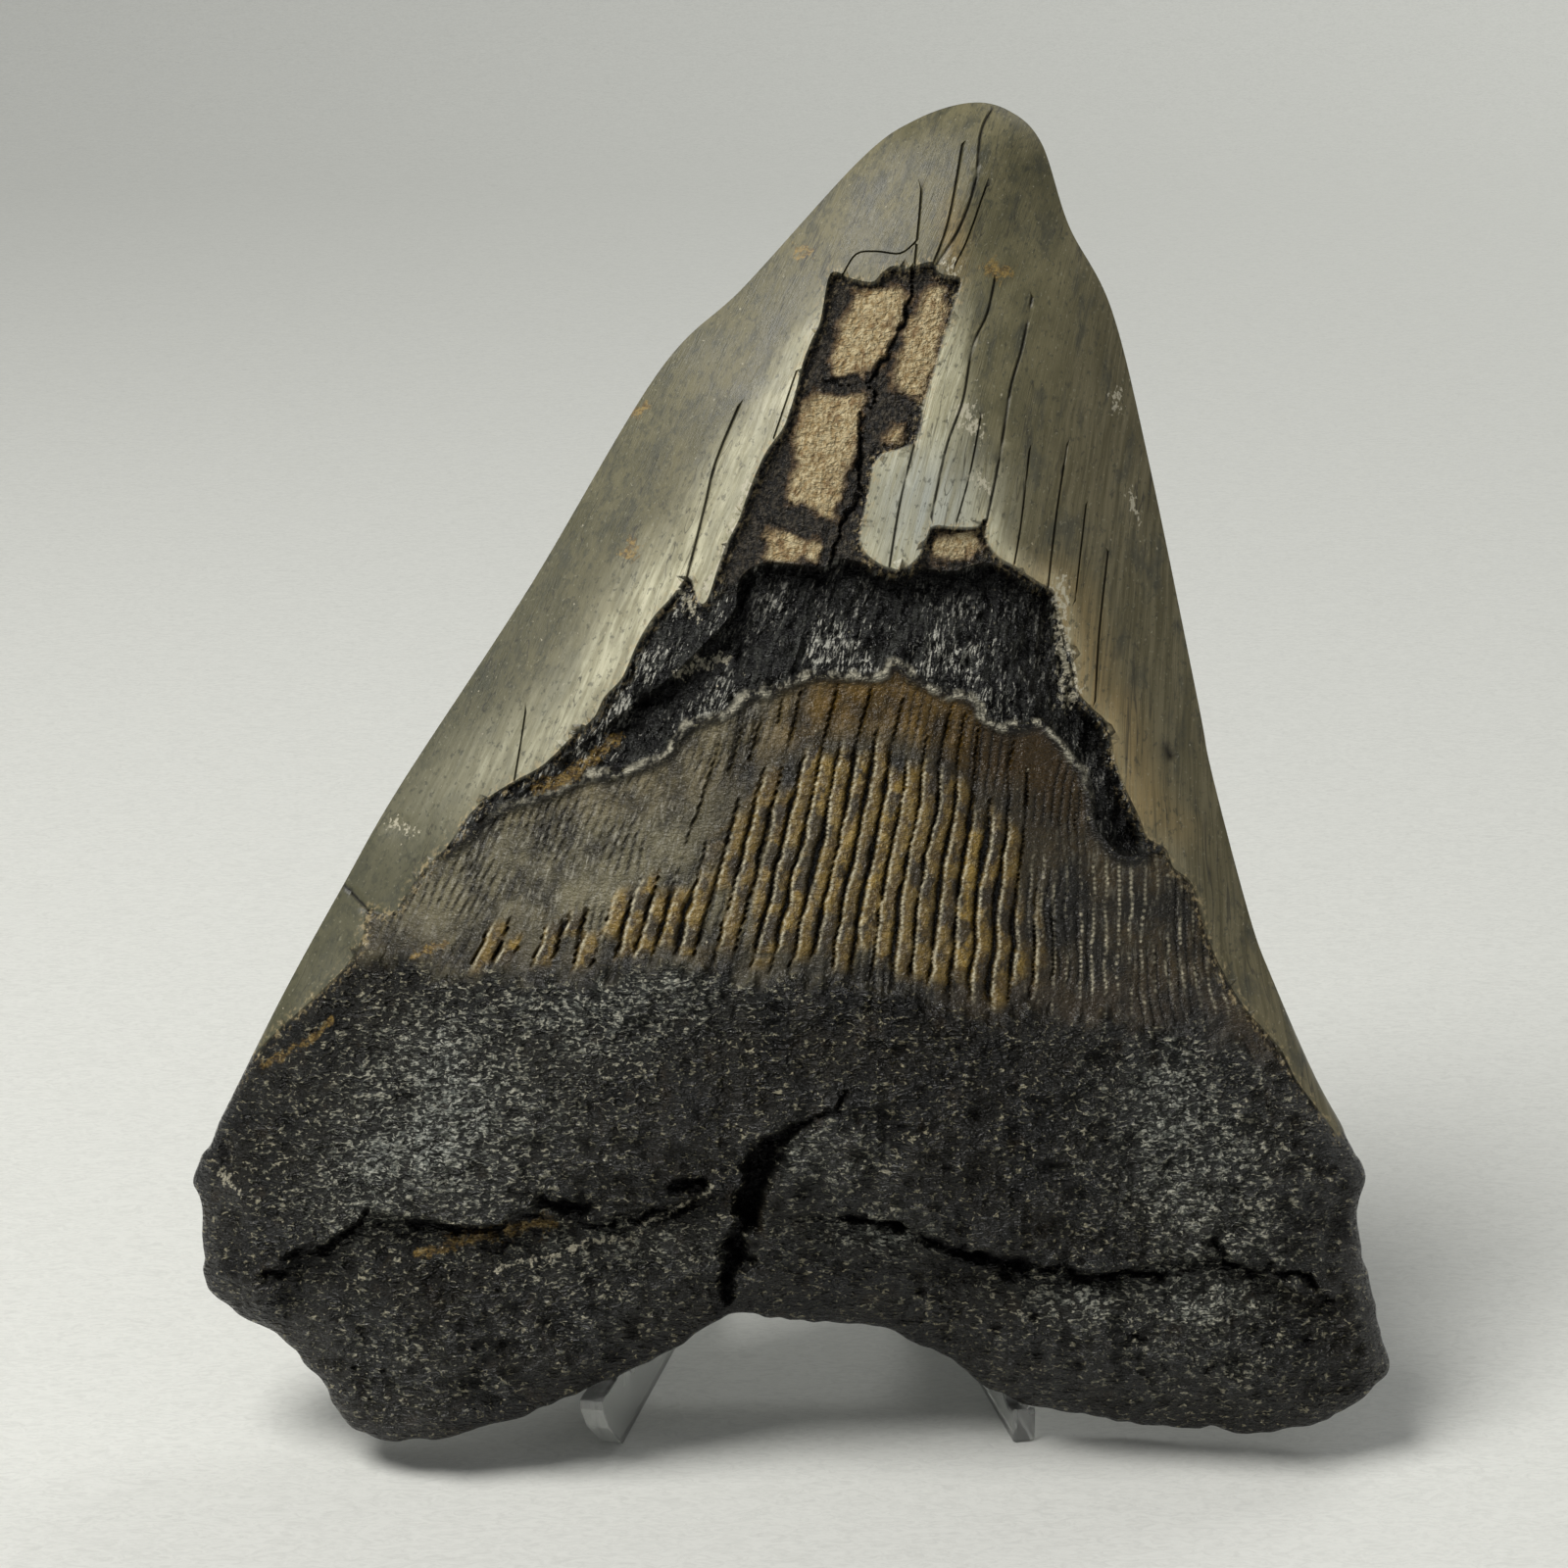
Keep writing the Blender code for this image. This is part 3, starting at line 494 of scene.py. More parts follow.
def cut_ribs(f):
    """Coarse ribs of the band, each with a groove beside it and a painted highlight along its lit side."""
    u, v, grain = f.u, f.v, f.grain
    turn = grain / RIB_PITCH + 0.07 * noise(u, v, 3.6, 7) + 0.05 * noise(u, v, 1.1, 30)
    rib, gap = np.floor(turn + 0.5), np.floor(turn)
    f.own = hashed(rib.astype(np.int64), np.zeros(len(u), np.int64), 12)
    middle, left = (within(f.points, loop, 1.0) + 2.6 * (f.own - 0.5) for loop in RIBS)
    strokes = smooth(noise(9.0 * rib, v, 4.5, 13), -0.45, 0.15)
    ribs = np.maximum(smooth(middle, -0.8, 1.2), smooth(left, -0.6, 1.0) * strokes)
    f.foot = v - np.interp(u, *np.array(BAND_FOOT).T) + 1.6 * rough(u, v, 4.0, 11, 3)
    f.foot += 0.9 * noise(grain, 0.25 * v, 0.9, 40)
    f.banded = (f.open * smooth(f.band, 0.2, 1.6) * smooth(f.foot, -1.2, 1.6)
                   * f.settled)
    saw = saw_tooth(turn)
    width = GROOVE_WIDTH + 0.12 * noise(9.0 * gap, v, 1.3, 8) + 0.16 * noise(9.0 * gap, v, 5.0, 18)
    groove = smooth(saw, width + 0.12, width - 0.10) * ribs * f.banded
    above_ribs = (smooth(middle, -8.0, -5.0) * (1 - ribs)
                  * smooth(noise(9.0 * gap, v, 3.5, 37), -0.3, 0.2))
    f.rib_groove = np.maximum(groove, 0.8 * smooth(saw, 0.22, 0.08) * above_ribs * f.banded)
    lit_side = smooth(turn - rib, 0.15, -0.15)
    # Painted highlight along each rib's lit side
    f.rib_border = (smooth(saw, width + 0.06, width + 0.16)
                       * smooth(saw, width + 0.44, width + 0.22) * ribs * lit_side)
    raised = RIB_HEIGHT * ribs * smooth(saw, width, width + 0.30)
    f.height += f.banded * (raised - RIB_GROOVE_DEPTH * f.rib_groove)
    f.height += 0.07 * ribs * f.banded * (noise(9.0 * rib, v, 2.4, 14) + noise(u, v, 0.8, 19))
    f.ribs = ribs


def cut_fine_lines(f):
    """Fine lines between the ribs, pale threads at the band's right end, and the crest."""
    u, v, grain, ribs = f.u, f.v, f.grain, f.ribs
    turn = grain / THREAD_PITCH + 0.15 * noise(u, v, 2.0, 15)
    saw = saw_tooth(turn)
    right_end = smooth(u, 21, 26) * smooth(v, 62, 57) * smooth(v, 42, 46) * (1 - ribs)
    broken = smooth(noise(7.0 * np.floor(turn), v, 2.6, 16), -0.2, 0.3)
    # Pale threads at the band's right end share the mask with the painted rib highlights
    f.rib_border = np.maximum(f.rib_border, smooth(saw, 0.78, 0.96) * right_end * broken)
    turn = grain / FINE_PITCH + 0.35 * noise(u, v, 3.0, 9)
    saw = saw_tooth(turn)
    f.fine_lines = (smooth(saw, 0.45, 0.1) * f.banded * (1 - 0.8 * ribs)
                       * smooth(noise(u, v, 4.0, 10), -0.5, 0.5))
    f.height -= 0.20 * f.fine_lines - 0.30 * f.banded * rough(u, v, 3.0, 17)
    crest = smooth(f.band, -0.2, 0.6) * smooth(f.band, 4.5, 1.0) * smooth(v, 60, 68)
    f.height += CREST_HEIGHT * crest * f.open


def roughen_root(f):
    """Lumps, worm-like furrows and pores of the root."""
    u, v = f.u, f.v
    # Frost: pale grains, and a painted sheen where the root's slopes face the lamps
    frost = np.clip(spread(u, v, FROST_AND_SHEEN) * (0.8 + 0.5 * rough(u, v, 5.0, 34)) + 0.06, 0, 1)
    root = f.open * (1 - smooth(f.foot, -1.5, 2.0)) * f.settled
    furrows = 1 - 2.5 * np.abs(noise(u, v, 1.3, 33))
    f.height += root * (1.0 * rough(u, v, 8.0, 31) + 0.80 * rough(u, v, 2.8, 32, 3) + 0.26 * furrows)
    lobes = root * smooth(v, 24, 16) * smooth(noise(u, v, 7.0, 36), -0.3, 0.5)
    holes = np.maximum(pores(u, v, 2.3, 0.3, 81), pores(u + 1.1, v + 0.7, 1.5, 0.2, 91)) * lobes
    f.height -= PORE_DEPTH * holes
    # Pores are darkened: painted shade in the holes
    f.frost, f.dark = frost * root, 0.45 * holes


def crack_root(f):
    """Jagged cracks of the root, and the groove between its lobes."""
    u, v = f.u, f.v
    jog = [0.65 * noise(u, v, 2.1, 44 + k) + 0.45 * noise(u, v, 0.9, 46 + k) for k in (0, 1)]
    jagged = f.points + np.stack(jog, 1)
    uneven = np.maximum(0.3, 0.8 + 0.6 * noise(u, v, 1.9, 41) + 0.35 * noise(u, v, 0.8, 43))
    for line, half, deep in ROOT_CRACKS:
        width = half * uneven
        cut = smooth(distance(jagged, spline(line, 0.7), reach=4.0), width, 0.1 * width)
        f.height -= deep * cut * smooth(f.part, 0, 0.4)
        # Painted shade inside the crack
        f.dark = np.maximum(f.dark, smooth(cut, 0.15, 0.8))
    near, half = distance(jagged, spline(GROOVE, 0.7), reach=5.0)
    half = np.maximum(half, 0.2) * (1 + 0.45 * noise(u, v, 1.7, 42) + 0.25 * noise(u, v, 0.8, 38))
    cut = smooth(near, half * 1.1, half * 0.15)
    f.height -= GROOVE_DEPTH * np.clip(half / 1.6, 0.12, 1) * cut * smooth(f.part, 0, 0.5)
    # Painted shade inside the groove between the lobes
    f.dark = np.maximum(f.dark, smooth(cut, 0.1, 0.9))


def crack_enamel(f):
    """Hairline cracks along the enamel, with gaps and a changing width."""
    u, v = f.u, f.v
    wide = 1.0 + 0.45 * noise(u, v, 3.4, 54)
    kept = smooth(noise(u, v, 2.6, 52) + 0.5 * noise(u, v, 1.0, 53), -1.1, -0.3)
    for line, half in ENAMEL_CRACKS:
        near = distance(f.points, spline(line, 0.7), reach=1.5)
        cut = smooth(near, half * wide, 0.0) * kept
        f.height -= ENAMEL_CRACK_DEPTH * cut * f.enamel * smooth(f.rim, 0.0, 1.0)
        # Darker along the crack
        f.dark = np.maximum(f.dark, cut * f.enamel)


def sink_pits(f):
    """Single pits, and the faint waves of the enamel."""
    u, v = f.u, f.v
    for at_u, at_v, wide, high, deep in PITS:
        hole = np.exp(-(((u - at_u) / wide) ** 2 + ((v - at_v) / high) ** 2) ** 1.5)
        f.height -= deep * hole
        # Deep pits are darkened: painted shade
        f.dark = np.maximum(f.dark, hole * (deep > 0.65))
    waves = 0.05 * noise(f.grain, 0.2 * v, 1.6, 51)
    f.height += f.enamel * waves * smooth(f.bare, -14, -1) * f.settled


def enamel_masks(f):
    u, v, enamel, bare = f.u, f.v, f.enamel, f.bare
    across = u - flow_middle(v)
    left = smooth(-across, -9, 4)
    crown = smooth(v, 55, 72) * smooth(v, 118, 108)
    reach = np.interp(v, [70, 98, 112], [-9.5, -8.0, -3.0])
    pale = left * smooth(bare, reach, 0.25 * reach) + (1 - left) * smooth(bare, -2.4, -0.4)
    low_right = smooth(v, 58, 64) * smooth(v, 92, 84)
    warm = (1 - left) * smooth(bare, -6, -0.6) * low_right + spread(u, v, TIP_STRIP)
    return {
        "enamel": enamel, "edge": smooth(np.abs(bare), 1.1, 0.1), "side": smooth(across, -30, 30),
        "pale": enamel * crown * pale, "blue": enamel * spread(u, v, BLUE_STRIP),
        "warm": enamel * warm, "left_end": enamel * smooth(across, -18, -52),
    }


def bare_masks(f):
    u, v, band = f.u, f.v, f.band
    by_rim = smooth(np.abs(band - 0.2 - 0.5 * noise(u, v, 1.3, 39)), 0.65, 0.1)
    middle = smooth(u, -14, -4) * smooth(u, 34, 26)
    return {
        # deep: painted shadow in the hollow under the broken shelf
        "hollow": np.maximum(f.in_hollow, f.rubble), "deep": f.in_hollow * f.under_shelf,
        "window": f.window, "patch": f.patch, "core": f.core,
        "band": f.banded, "low_band": f.banded * smooth(f.foot, 9.0, 0.0),
        "crest": smooth(band, -0.2, 0.8) * smooth(band, 7.5, 4.0) * f.open * smooth(v, 60, 66),
        # Painted shade in the valley between the crest and the ribs
        "valley_shade_below_crest": smooth(band, 3.5, 6.5) * smooth(band, 15, 11) * f.banded * middle,
        "rim": by_rim * f.open * smooth(v, 62, 68),
        "ribs": f.ribs * f.banded, "rib_tone": f.own, "rib_groove": f.rib_groove,
        # rib highlight and threads: painted highlights on the ribs, and pale threads
        "rib_border": f.rib_border * f.banded, "fine_lines": f.fine_lines,
        # frost: pale grains and painted sheen of the root
        "frost": f.frost,
    }


def all_masks(f):
    # dark: painted shade in the root's cracks, groove, pits and pores, and dark lines along the enamel's
    # cracks
    drawn = {"dark": f.dark, "ochre": marks(f.points, OCHRE, 26), "cream": marks(f.points, CREAM, 27)}
    return {**enamel_masks(f), **bare_masks(f), **drawn}


def shown_face(points, rim):
    """Relief of the shown face over flat points, with all that its masks are made from."""
    u, v = points.T
    grain = flow(u, v) + 0.25 * noise(u, v, 7.0, 5) + 0.10 * noise(u, v, 2.2, 6)
    f = SimpleNamespace(points=points, u=u, v=v, rim=rim, grain=grain, settled=smooth(rim, 0.4, 3.0))
    for step in (swell, break_enamel, crumble, cut_ribs, cut_fine_lines, roughen_root, crack_root,
                 crack_enamel, sink_pits):
        step(f)
    return f


def back_face(points, rim):
    """Height of the smooth back, and the masks that its material reads."""
    u, v = points.T
    height, part = body(v, rim, BACK_DEPTH, 7.6 + 1.9 * np.exp(-(u / 38) ** 2))
    height -= lower_edge_shift(u, v) * (1 - part)
    edge = spline(BACK_EDGE, 1.0)
    ragged = 0.8 * noise(u, v, 4.0, 61) + 0.3 * noise(u, v, 1.3, 62)
    bare = signed(points, edge, below(edge)) + ragged
    enamel = smooth(bare, 0.25, -0.25)
    settled = smooth(rim, 0.4, 3.0)
    height -= 0.5 * ENAMEL_STEP * (1 - enamel) * settled
    height -= 1.1 * part * np.exp(-((u - 2) / 22) ** 2 - ((v - 24) / 12) ** 2)
    root = (1 - enamel) * settled
    height += root * (0.2 * rough(u, v, 6.0, 71) + 0.12 * rough(u, v, 2.0, 72, 2)) - 0.2 * root
    masks = {"enamel": enamel, "edge": smooth(np.abs(bare), 1.0, 0.1), "pale": 0.35 * smooth(bare, -12, 0),
             "side": smooth(u - flow_middle(v), -30, 30),
             # frost: pale grains and painted sheen of the back's root
             "frost": root * np.clip(0.45 + 0.6 * rough(u, v, 8.0, 73), 0.1, 1)}
    return height, masks, flow(u, v)


def beside(line, offset):
    """Points of a line moved to one side of it."""
    line = line[:, :2]
    side = np.gradient(line, axis=0)
    side = np.stack([-side[:, 1], side[:, 0]], 1) / np.maximum(np.linalg.norm(side, axis=1), 1e-9)[:, None]
    return line + offset * side


def hexagons(step, low, high):
    """Evenly scattered points: rows of points, every other one shifted by half a step."""
    rows = np.arange(low[1], high[1], step * math.sqrt(0.75))
    row = np.arange(low[0], high[0], step)
    return np.concatenate([np.stack([row + (0.5 * step if i % 2 else 0), np.full(len(row), v)], 1)
                           for i, v in enumerate(rows)])


def triangulate(outline, scattered):
    """Triangles over the outline, whose points come first and keep their order."""
    points = np.concatenate([outline, scattered])
    count = len(outline)
    loop = [(i, (i + 1) % count) for i in range(count)]
    flat, _, faces, _, _, _ = delaunay_2d_cdt([Vector(p) for p in points], loop, [], 1, 1e-6)
    return np.array([tuple(p) for p in flat]), faces


def inner_rings(outline, depths):
    """Rows of points that follow the outline at some distance inside it."""
    inward = np.roll(outline, -1, axis=0) - np.roll(outline, 1, axis=0)
    inward = np.stack([inward[:, 1], -inward[:, 0]], 1) / np.linalg.norm(inward, axis=1)[:, None]
    rings = []
    for deep in depths:
        ring = outline + deep * inward
        rings.append(ring[distance(ring, outline, closed=True) > 0.9 * deep])
    return np.concatenate(rings)


def thin_out(points, cell):
    """Drops points that share a small cell with an earlier one."""
    _, first = np.unique(np.round(points / cell).astype(np.int64), axis=0, return_index=True)
    return points[np.sort(first)]


def front_points(outline):
    """Scattered points of the shown face, dense where it is rough, with rows along its broken edges."""
    low, high = outline.min(axis=0), outline.max(axis=0)
    edge = spline(ENAMEL_EDGE, ON_LINE)
    lines = [edge[:, :2]]
    guides = [beside(edge, side) for side in (-0.14, 0.14)]
    for line, half in ENAMEL_CRACKS:
        curve = spline(line, 0.45)
        lines.append(curve)
        guides += [curve, beside(curve, 1.4 * half), beside(curve, -1.4 * half)]
    for line in (SHELF, RIM):
        curve = spline(line, ON_LINE)
        guides += [beside(curve, side) for side in (-0.16, 0.16)]
        lines.append(curve)
    rings = inner_rings(outline, RINGS)
    guides = np.concatenate([*guides, rings])
    guides = thin_out(guides[inside(guides, outline)], 0.09)
    guides = guides[distance(guides, outline, closed=True) > 0.18]
    below_enamel = below(edge)
    made = [guides]
    for step, wanted in ((FINE, "fine"), (MIDDLE, "root"), (PLAIN, "plain")):
        grid = hexagons(step, low, high)
        grid = grid[inside(grid, outline)]
        bare = inside(grid, below_enamel)
        fine = bare & (grid[:, 1] > BAND_LOW)
        grid = grid[{"fine": fine, "root": bare & ~fine, "plain": ~bare}[wanted]]
        clear = distance(grid, outline, closed=True) > RINGS[-1] + 0.4 * step
        for line in lines:
            clear &= distance(grid, line, reach=1.0) > 0.17 + 0.35 * step
        made.append(grid[clear])
    return np.concatenate(made)


def back_points(outline):
    """Scattered points of the back, denser beside the enamel's lower edge."""
    edge = spline(BACK_EDGE, 1.0)
    made = [inner_rings(outline, RINGS)]
    for step, by_edge in ((BEHIND, False), (BORDER, True)):
        grid = hexagons(step, outline.min(axis=0), outline.max(axis=0))
        grid = grid[inside(grid, outline)]
        grid = grid[(distance(grid, edge) < BORDER_REACH) == by_edge]
        made.append(grid[distance(grid, outline, closed=True) > RINGS[-1] + 0.4 * step])
    return np.concatenate(made)


def to_world(points, w):
    """From the flat drawing to where the tooth leans, in metres."""
    u, v = points.T
    y = v * math.sin(LEAN) - w * math.cos(LEAN) + SET_BACK
    z = LIFT + v * math.cos(LEAN) + w * math.sin(LEAN)
    return MM * np.stack([u, y, z], 1)


def uneven_outline():
    """The outline, with the root's edge worn a little uneven."""
    line = spline(OUTLINE, 0.5, closed=True)
    side = np.roll(line, -1, axis=0) - np.roll(line, 1, axis=0)
    side = np.stack([side[:, 1], -side[:, 0]], 1) / np.linalg.norm(side, axis=1)[:, None]
    u, v = line.T
    worn = 0.12 + 0.34 * noise(u, v, 2.7, 95) + 0.16 * noise(u, v, 1.2, 96)
    return line + (worn * smooth(v, 36, 27))[:, None] * side


def make_tooth():
    """Two relief faces that share the outline's points, closed into one skin."""
    outline = uneven_outline()
    front, front_faces = triangulate(outline, front_points(outline))
    back, back_faces = triangulate(outline, back_points(outline))
    count = len(outline)
    shown = shown_face(front, distance(front, outline, closed=True))
    back_height, back_masks, back_grain = back_face(back, distance(back, outline, closed=True))
    shown.height[:count] = lower_edge_shift(*outline.T)
    places = np.concatenate([to_world(front, shown.height), to_world(back[count:], -back_height[count:])])
    offset = len(front) - count
    faces = [tuple(face) for face in front_faces]
    faces += [tuple(i if i < count else i + offset for i in reversed(face)) for face in back_faces]
    mesh = bpy.data.meshes.new("tooth_skin")
    mesh.from_pydata(places.tolist(), [], faces)
    for name, values in all_masks(shown).items():
        layer = mesh.attributes.new(name, "FLOAT", "POINT")
        behind = back_masks.get(name, np.zeros(len(back)))[count:]
        layer.data.foreach_set("value", np.concatenate([values, behind]).astype(np.float32))
    drawn = np.concatenate([np.stack([shown.grain, front[:, 1], front[:, 0]], 1),
                            np.stack([back_grain, back[:, 1], back[:, 0] + BACK_SHIFT], 1)[count:]])
    layer = mesh.attributes.new("grain", "FLOAT_VECTOR", "POINT")
    layer.data.foreach_set("vector", drawn.astype(np.float32).ravel())
    mesh.shade_smooth()
    mesh.set_sharp_from_angle(angle=SHARP_FROM)
    mesh.update()
    tooth = bpy.data.objects.new("tooth_skin", mesh)
    bpy.context.scene.collection.objects.link(tooth)
    print("tooth triangles:", len(faces))
    return tooth


class Shader:
    """Short calls for building a node material."""

    def __init__(self, name):
        self.material = bpy.data.materials.new(name)
        self.material.use_nodes = True
        self.nodes, self.links = self.material.node_tree.nodes, self.material.node_tree.links
        self.main = self.nodes["Principled BSDF"]

    def put(self, node, socket, value):
        if isinstance(value, bpy.types.NodeSocket):
            self.links.new(value, node.inputs[socket])
        elif value is not None:
            node.inputs[socket].default_value = value

    def mask(self, name, output="Fac"):
        """What the mesh carries under a name."""
        node = self.nodes.new("ShaderNodeAttribute")
        node.attribute_name = name
        return node.outputs[output]

    def math(self, operation, a, b=None, clamp=False):
        node = self.nodes.new("ShaderNodeMath")
        node.operation, node.use_clamp = operation, clamp
        self.put(node, 0, a)
        self.put(node, 1, b)
        return node.outputs[0]

    def product(self, a, b):
        return self.math("MULTIPLY", a, b)

    def span(self, value, low, high, to_low=0.0, to_high=1.0):
        node = self.nodes.new("ShaderNodeMapRange")
        node.interpolation_type = "SMOOTHSTEP"
        for socket, given in zip(("Value", "From Min", "From Max", "To Min", "To Max"),
                                 (value, low, high, to_low, to_high)):
            self.put(node, socket, given)
        return node.outputs[0]

    def scaled(self, vector, scale):
        node = self.nodes.new("ShaderNodeMapping")
        self.put(node, "Vector", vector)
        node.inputs["Scale"].default_value = scale
        return node.outputs[0]

    def cloud(self, vector, scale, detail=4.0, roughness=0.55, distortion=0.0):
        node = self.nodes.new("ShaderNodeTexNoise")
        for socket, given in (("Vector", vector), ("Scale", scale), ("Detail", detail),
                              ("Roughness", roughness), ("Distortion", distortion)):
            self.put(node, socket, given)
        return node.outputs["Fac"]

    def mix(self, factor, a, b):
        node = self.nodes.new("ShaderNodeMix")
        node.data_type = "RGBA"
        self.put(node, 0, factor)
        for socket, value in ((6, a), (7, b)):
            self.put(node, socket, (*value, 1) if isinstance(value, tuple) else value)
        return node.outputs[2]

    def two(self, value, low, high, dark, pale):
        """Mix of two tones by a cloud that is read between low and high."""
        return self.mix(self.span(value, low, high), tone(*dark), tone(*pale))

    def bump(self, height, strength, distance):
        node = self.nodes.new("ShaderNodeBump")
        for socket, given in (("Height", height), ("Strength", strength), ("Distance", distance)):
            self.put(node, socket, given)
        return node.outputs[0]


def tone(red, green, blue):
    """Linear colour from the usual 0 to 255 values."""
    return tuple(((c / 255 + 0.055) / 1.055) ** 2.4 if c > 10 else c / 255 / 12.92
                 for c in (red, green, blue))


def enamel_colour(s):
    """Olive grey on the left, yellow-brown on the right, pale beside the broken edge."""
    side, grain = s.mask("side"), s.grain
    colour = s.two(s.mottle, 0.35, 0.68, (90, 86, 61), (112, 106, 77))
    brown = s.two(s.streaks, 0.35, 0.65, (86, 80, 56), (112, 105, 80))
    colour = s.mix(s.span(side, 0.5, 0.85), colour, brown)
    smoke = s.cloud(s.scaled(grain, (0.30, 0.16, 0.2)), 1.0, 5.0, 0.68)
    colour = s.mix(s.span(smoke, 0.50, 0.66, 0, 0.62), colour, tone(58, 60, 52))
    pale = s.two(s.streaks, 0.35, 0.68, (166, 161, 131), (215, 211, 181))
    amount = s.product(s.mask("pale"), s.span(smoke, 0.35, 0.6, 1.0, 0.6))
    colour = s.mix(amount, colour, pale)
    amount = s.product(s.mask("blue"), s.span(s.streaks, 0.3, 0.6, 0.35, 0.95))
    colour = s.mix(amount, colour, tone(160, 163, 154))
    amount = s.product(s.mask("warm"), s.span(s.streaks, 0.3, 0.6, 0.3, 0.9))
    colour = s.mix(amount, colour, tone(142, 122, 80))
    colour = s.mix(s.product(s.mask("left_end"), 0.6), colour, tone(74, 75, 60))
    colour = s.mix(s.span(s.fine_streaks, 0.60, 0.78, 0, 0.25), colour, tone(70, 68, 56))
    spots = s.span(s.cloud(grain, 1.3, 3.0, 0.6), 0.56, 0.68, 0, 0.6)
    colour = s.mix(spots, colour, tone(56, 57, 46))
    flecks = s.span(s.cloud(grain, 2.2, 2.0, 0.5), 0.64, 0.72, 0, 0.3)
    colour = s.mix(flecks, colour, tone(160, 158, 136))
    blotches = s.product(s.span(side, 0.6, 0.35),
                            s.span(s.cloud(grain, 0.7, 5.0, 0.7), 0.50, 0.62, 0, 0.5))
    amount = s.product(blotches, s.span(s.mask("pale"), 0.5, 0.1))
    colour = s.mix(amount, colour, tone(58, 60, 48))
    line = s.cloud(s.scaled(grain, (0.55, 0.02, 0.3)), 1.0, 2.0, 0.5)
    line = s.span(s.math("ABSOLUTE", s.math("SUBTRACT", line, 0.5)), 0.014, 0.004)
    where = s.span(s.cloud(s.scaled(grain, (0.25, 0.05, 0.2)), 1.0, 2.0), 0.50, 0.60, 0, 0.65)
    return s.mix(s.product(line, where), colour, tone(48, 46, 38))


def root_colour(s):
    """Near black with a pale frost of grains, partly painted sheen and glints where the root faces the lamps.
    """
    colour = s.two(s.mottle, 0.35, 0.65, (4, 4, 4), (23, 20, 13))
    stain = s.span(s.cloud(s.grain, 0.3, 4.0, 0.6), 0.58, 0.72, 0, 0.5)
    colour = s.mix(stain, colour, tone(52, 41, 26))
    # Pale grains that also serve as painted glints, thickest where the frost is
    frost = s.mask("frost")
    start = s.math("SUBTRACT", 0.595, s.product(frost, 0.145))
    start = s.math("SUBTRACT", start, s.product(s.math("SUBTRACT", s.clump, 0.5), 0.35))
    frosted = s.span(s.math("SUBTRACT", s.speck, start), 0.0, 0.09)
    grain_and_glint_tones = s.two(s.grit, 0.4, 0.6, (76, 76, 64), (158, 150, 122))
    grain_and_glint_tones = s.mix(frost, grain_and_glint_tones, s.two(s.grit, 0.4, 0.6, (112, 116, 110), (186, 188, 178)))
    # Painted sheen: the root's base turns grey in the frost areas
    amount = s.product(frost, s.span(s.clump, 0.4, 0.6, 0.5, 0.95))
    colour = s.mix(amount, colour, tone(54, 56, 52))
    return s.mix(s.product(frosted, 0.92), colour, grain_and_glint_tones)


def rib_colour(s):
    """Tan, with grains, and browner on some ribs and in patches."""
    colour = s.two(s.clump, 0.38, 0.62, (84, 64, 22), (148, 121, 54))
    colour = s.mix(s.span(s.grit, 0.52, 0.64, 0, 0.5), colour, tone(182, 164, 118))
    colour = s.mix(s.span(s.mask("rib_tone"), 0.0, 1.0, 0, 0.5), colour, tone(70, 56, 28))
    patches = s.span(s.cloud(s.grain, 0.30, 3.0, 0.6), 0.48, 0.60, 0, 0.9)
    return s.mix(patches, colour, tone(40, 32, 18))


def band_colour(s):
    """Grey at left, olive and brown in the middle, with tan ribs and dark grooves, painted highlights on the
    ribs' lit sides and painted shade in the valley below the crest.
    """
    side, mottle = s.mask("side"), s.mottle
    colour = s.two(mottle, 0.34, 0.64, (40, 37, 26), (114, 108, 84))
    colour = s.mix(s.span(side, 0.50, 0.72, 0, 0.9), colour,
                      s.two(mottle, 0.38, 0.66, (20, 15, 4), (54, 40, 11)))
    threads = s.cloud(s.scaled(s.grain, (2.4, 0.55, 1.0)), 1.0, 3.0, 0.6)
    amount = s.product(s.span(threads, 0.53, 0.66), s.span(side, 0.5, 0.8, 0.6, 0.25))
    colour = s.mix(amount, colour, tone(146, 142, 126))
    # Painted shade in the valley below the crest
    colour = s.mix(s.product(s.mask("valley_shade_below_crest"), 0.8), colour,
                      s.two(mottle, 0.4, 0.6, (16, 14, 8), (50, 43, 27)))
    crest = s.product(s.mask("crest"), s.span(side, 0.12, 0.32, 0.2, 1.0))
    gold = s.two(mottle, 0.36, 0.62, (46, 34, 5), (104, 79, 24))
    colour = s.mix(crest, colour, s.mix(s.span(side, 0.58, 0.72), gold, tone(54, 38, 3)))
    colour = s.mix(s.product(s.mask("low_band"), 0.75), colour,
                      s.two(mottle, 0.4, 0.6, (20, 18, 14), (46, 38, 28)))
    colour = s.mix(s.product(s.mask("ribs"), 0.9), colour, rib_colour(s))
    # Painted highlights on the ribs' lit sides, and pale threads at the right end
    border = s.product(s.mask("rib_border"), s.span(s.grit, 0.40, 0.54, 0.25, 0.95))
    colour = s.mix(border, colour, tone(204, 196, 168))
    colour = s.mix(s.product(s.mask("fine_lines"), 0.85), colour, tone(20, 18, 14))
    return s.mix(s.mask("rib_groove"), colour, tone(12, 10, 7))


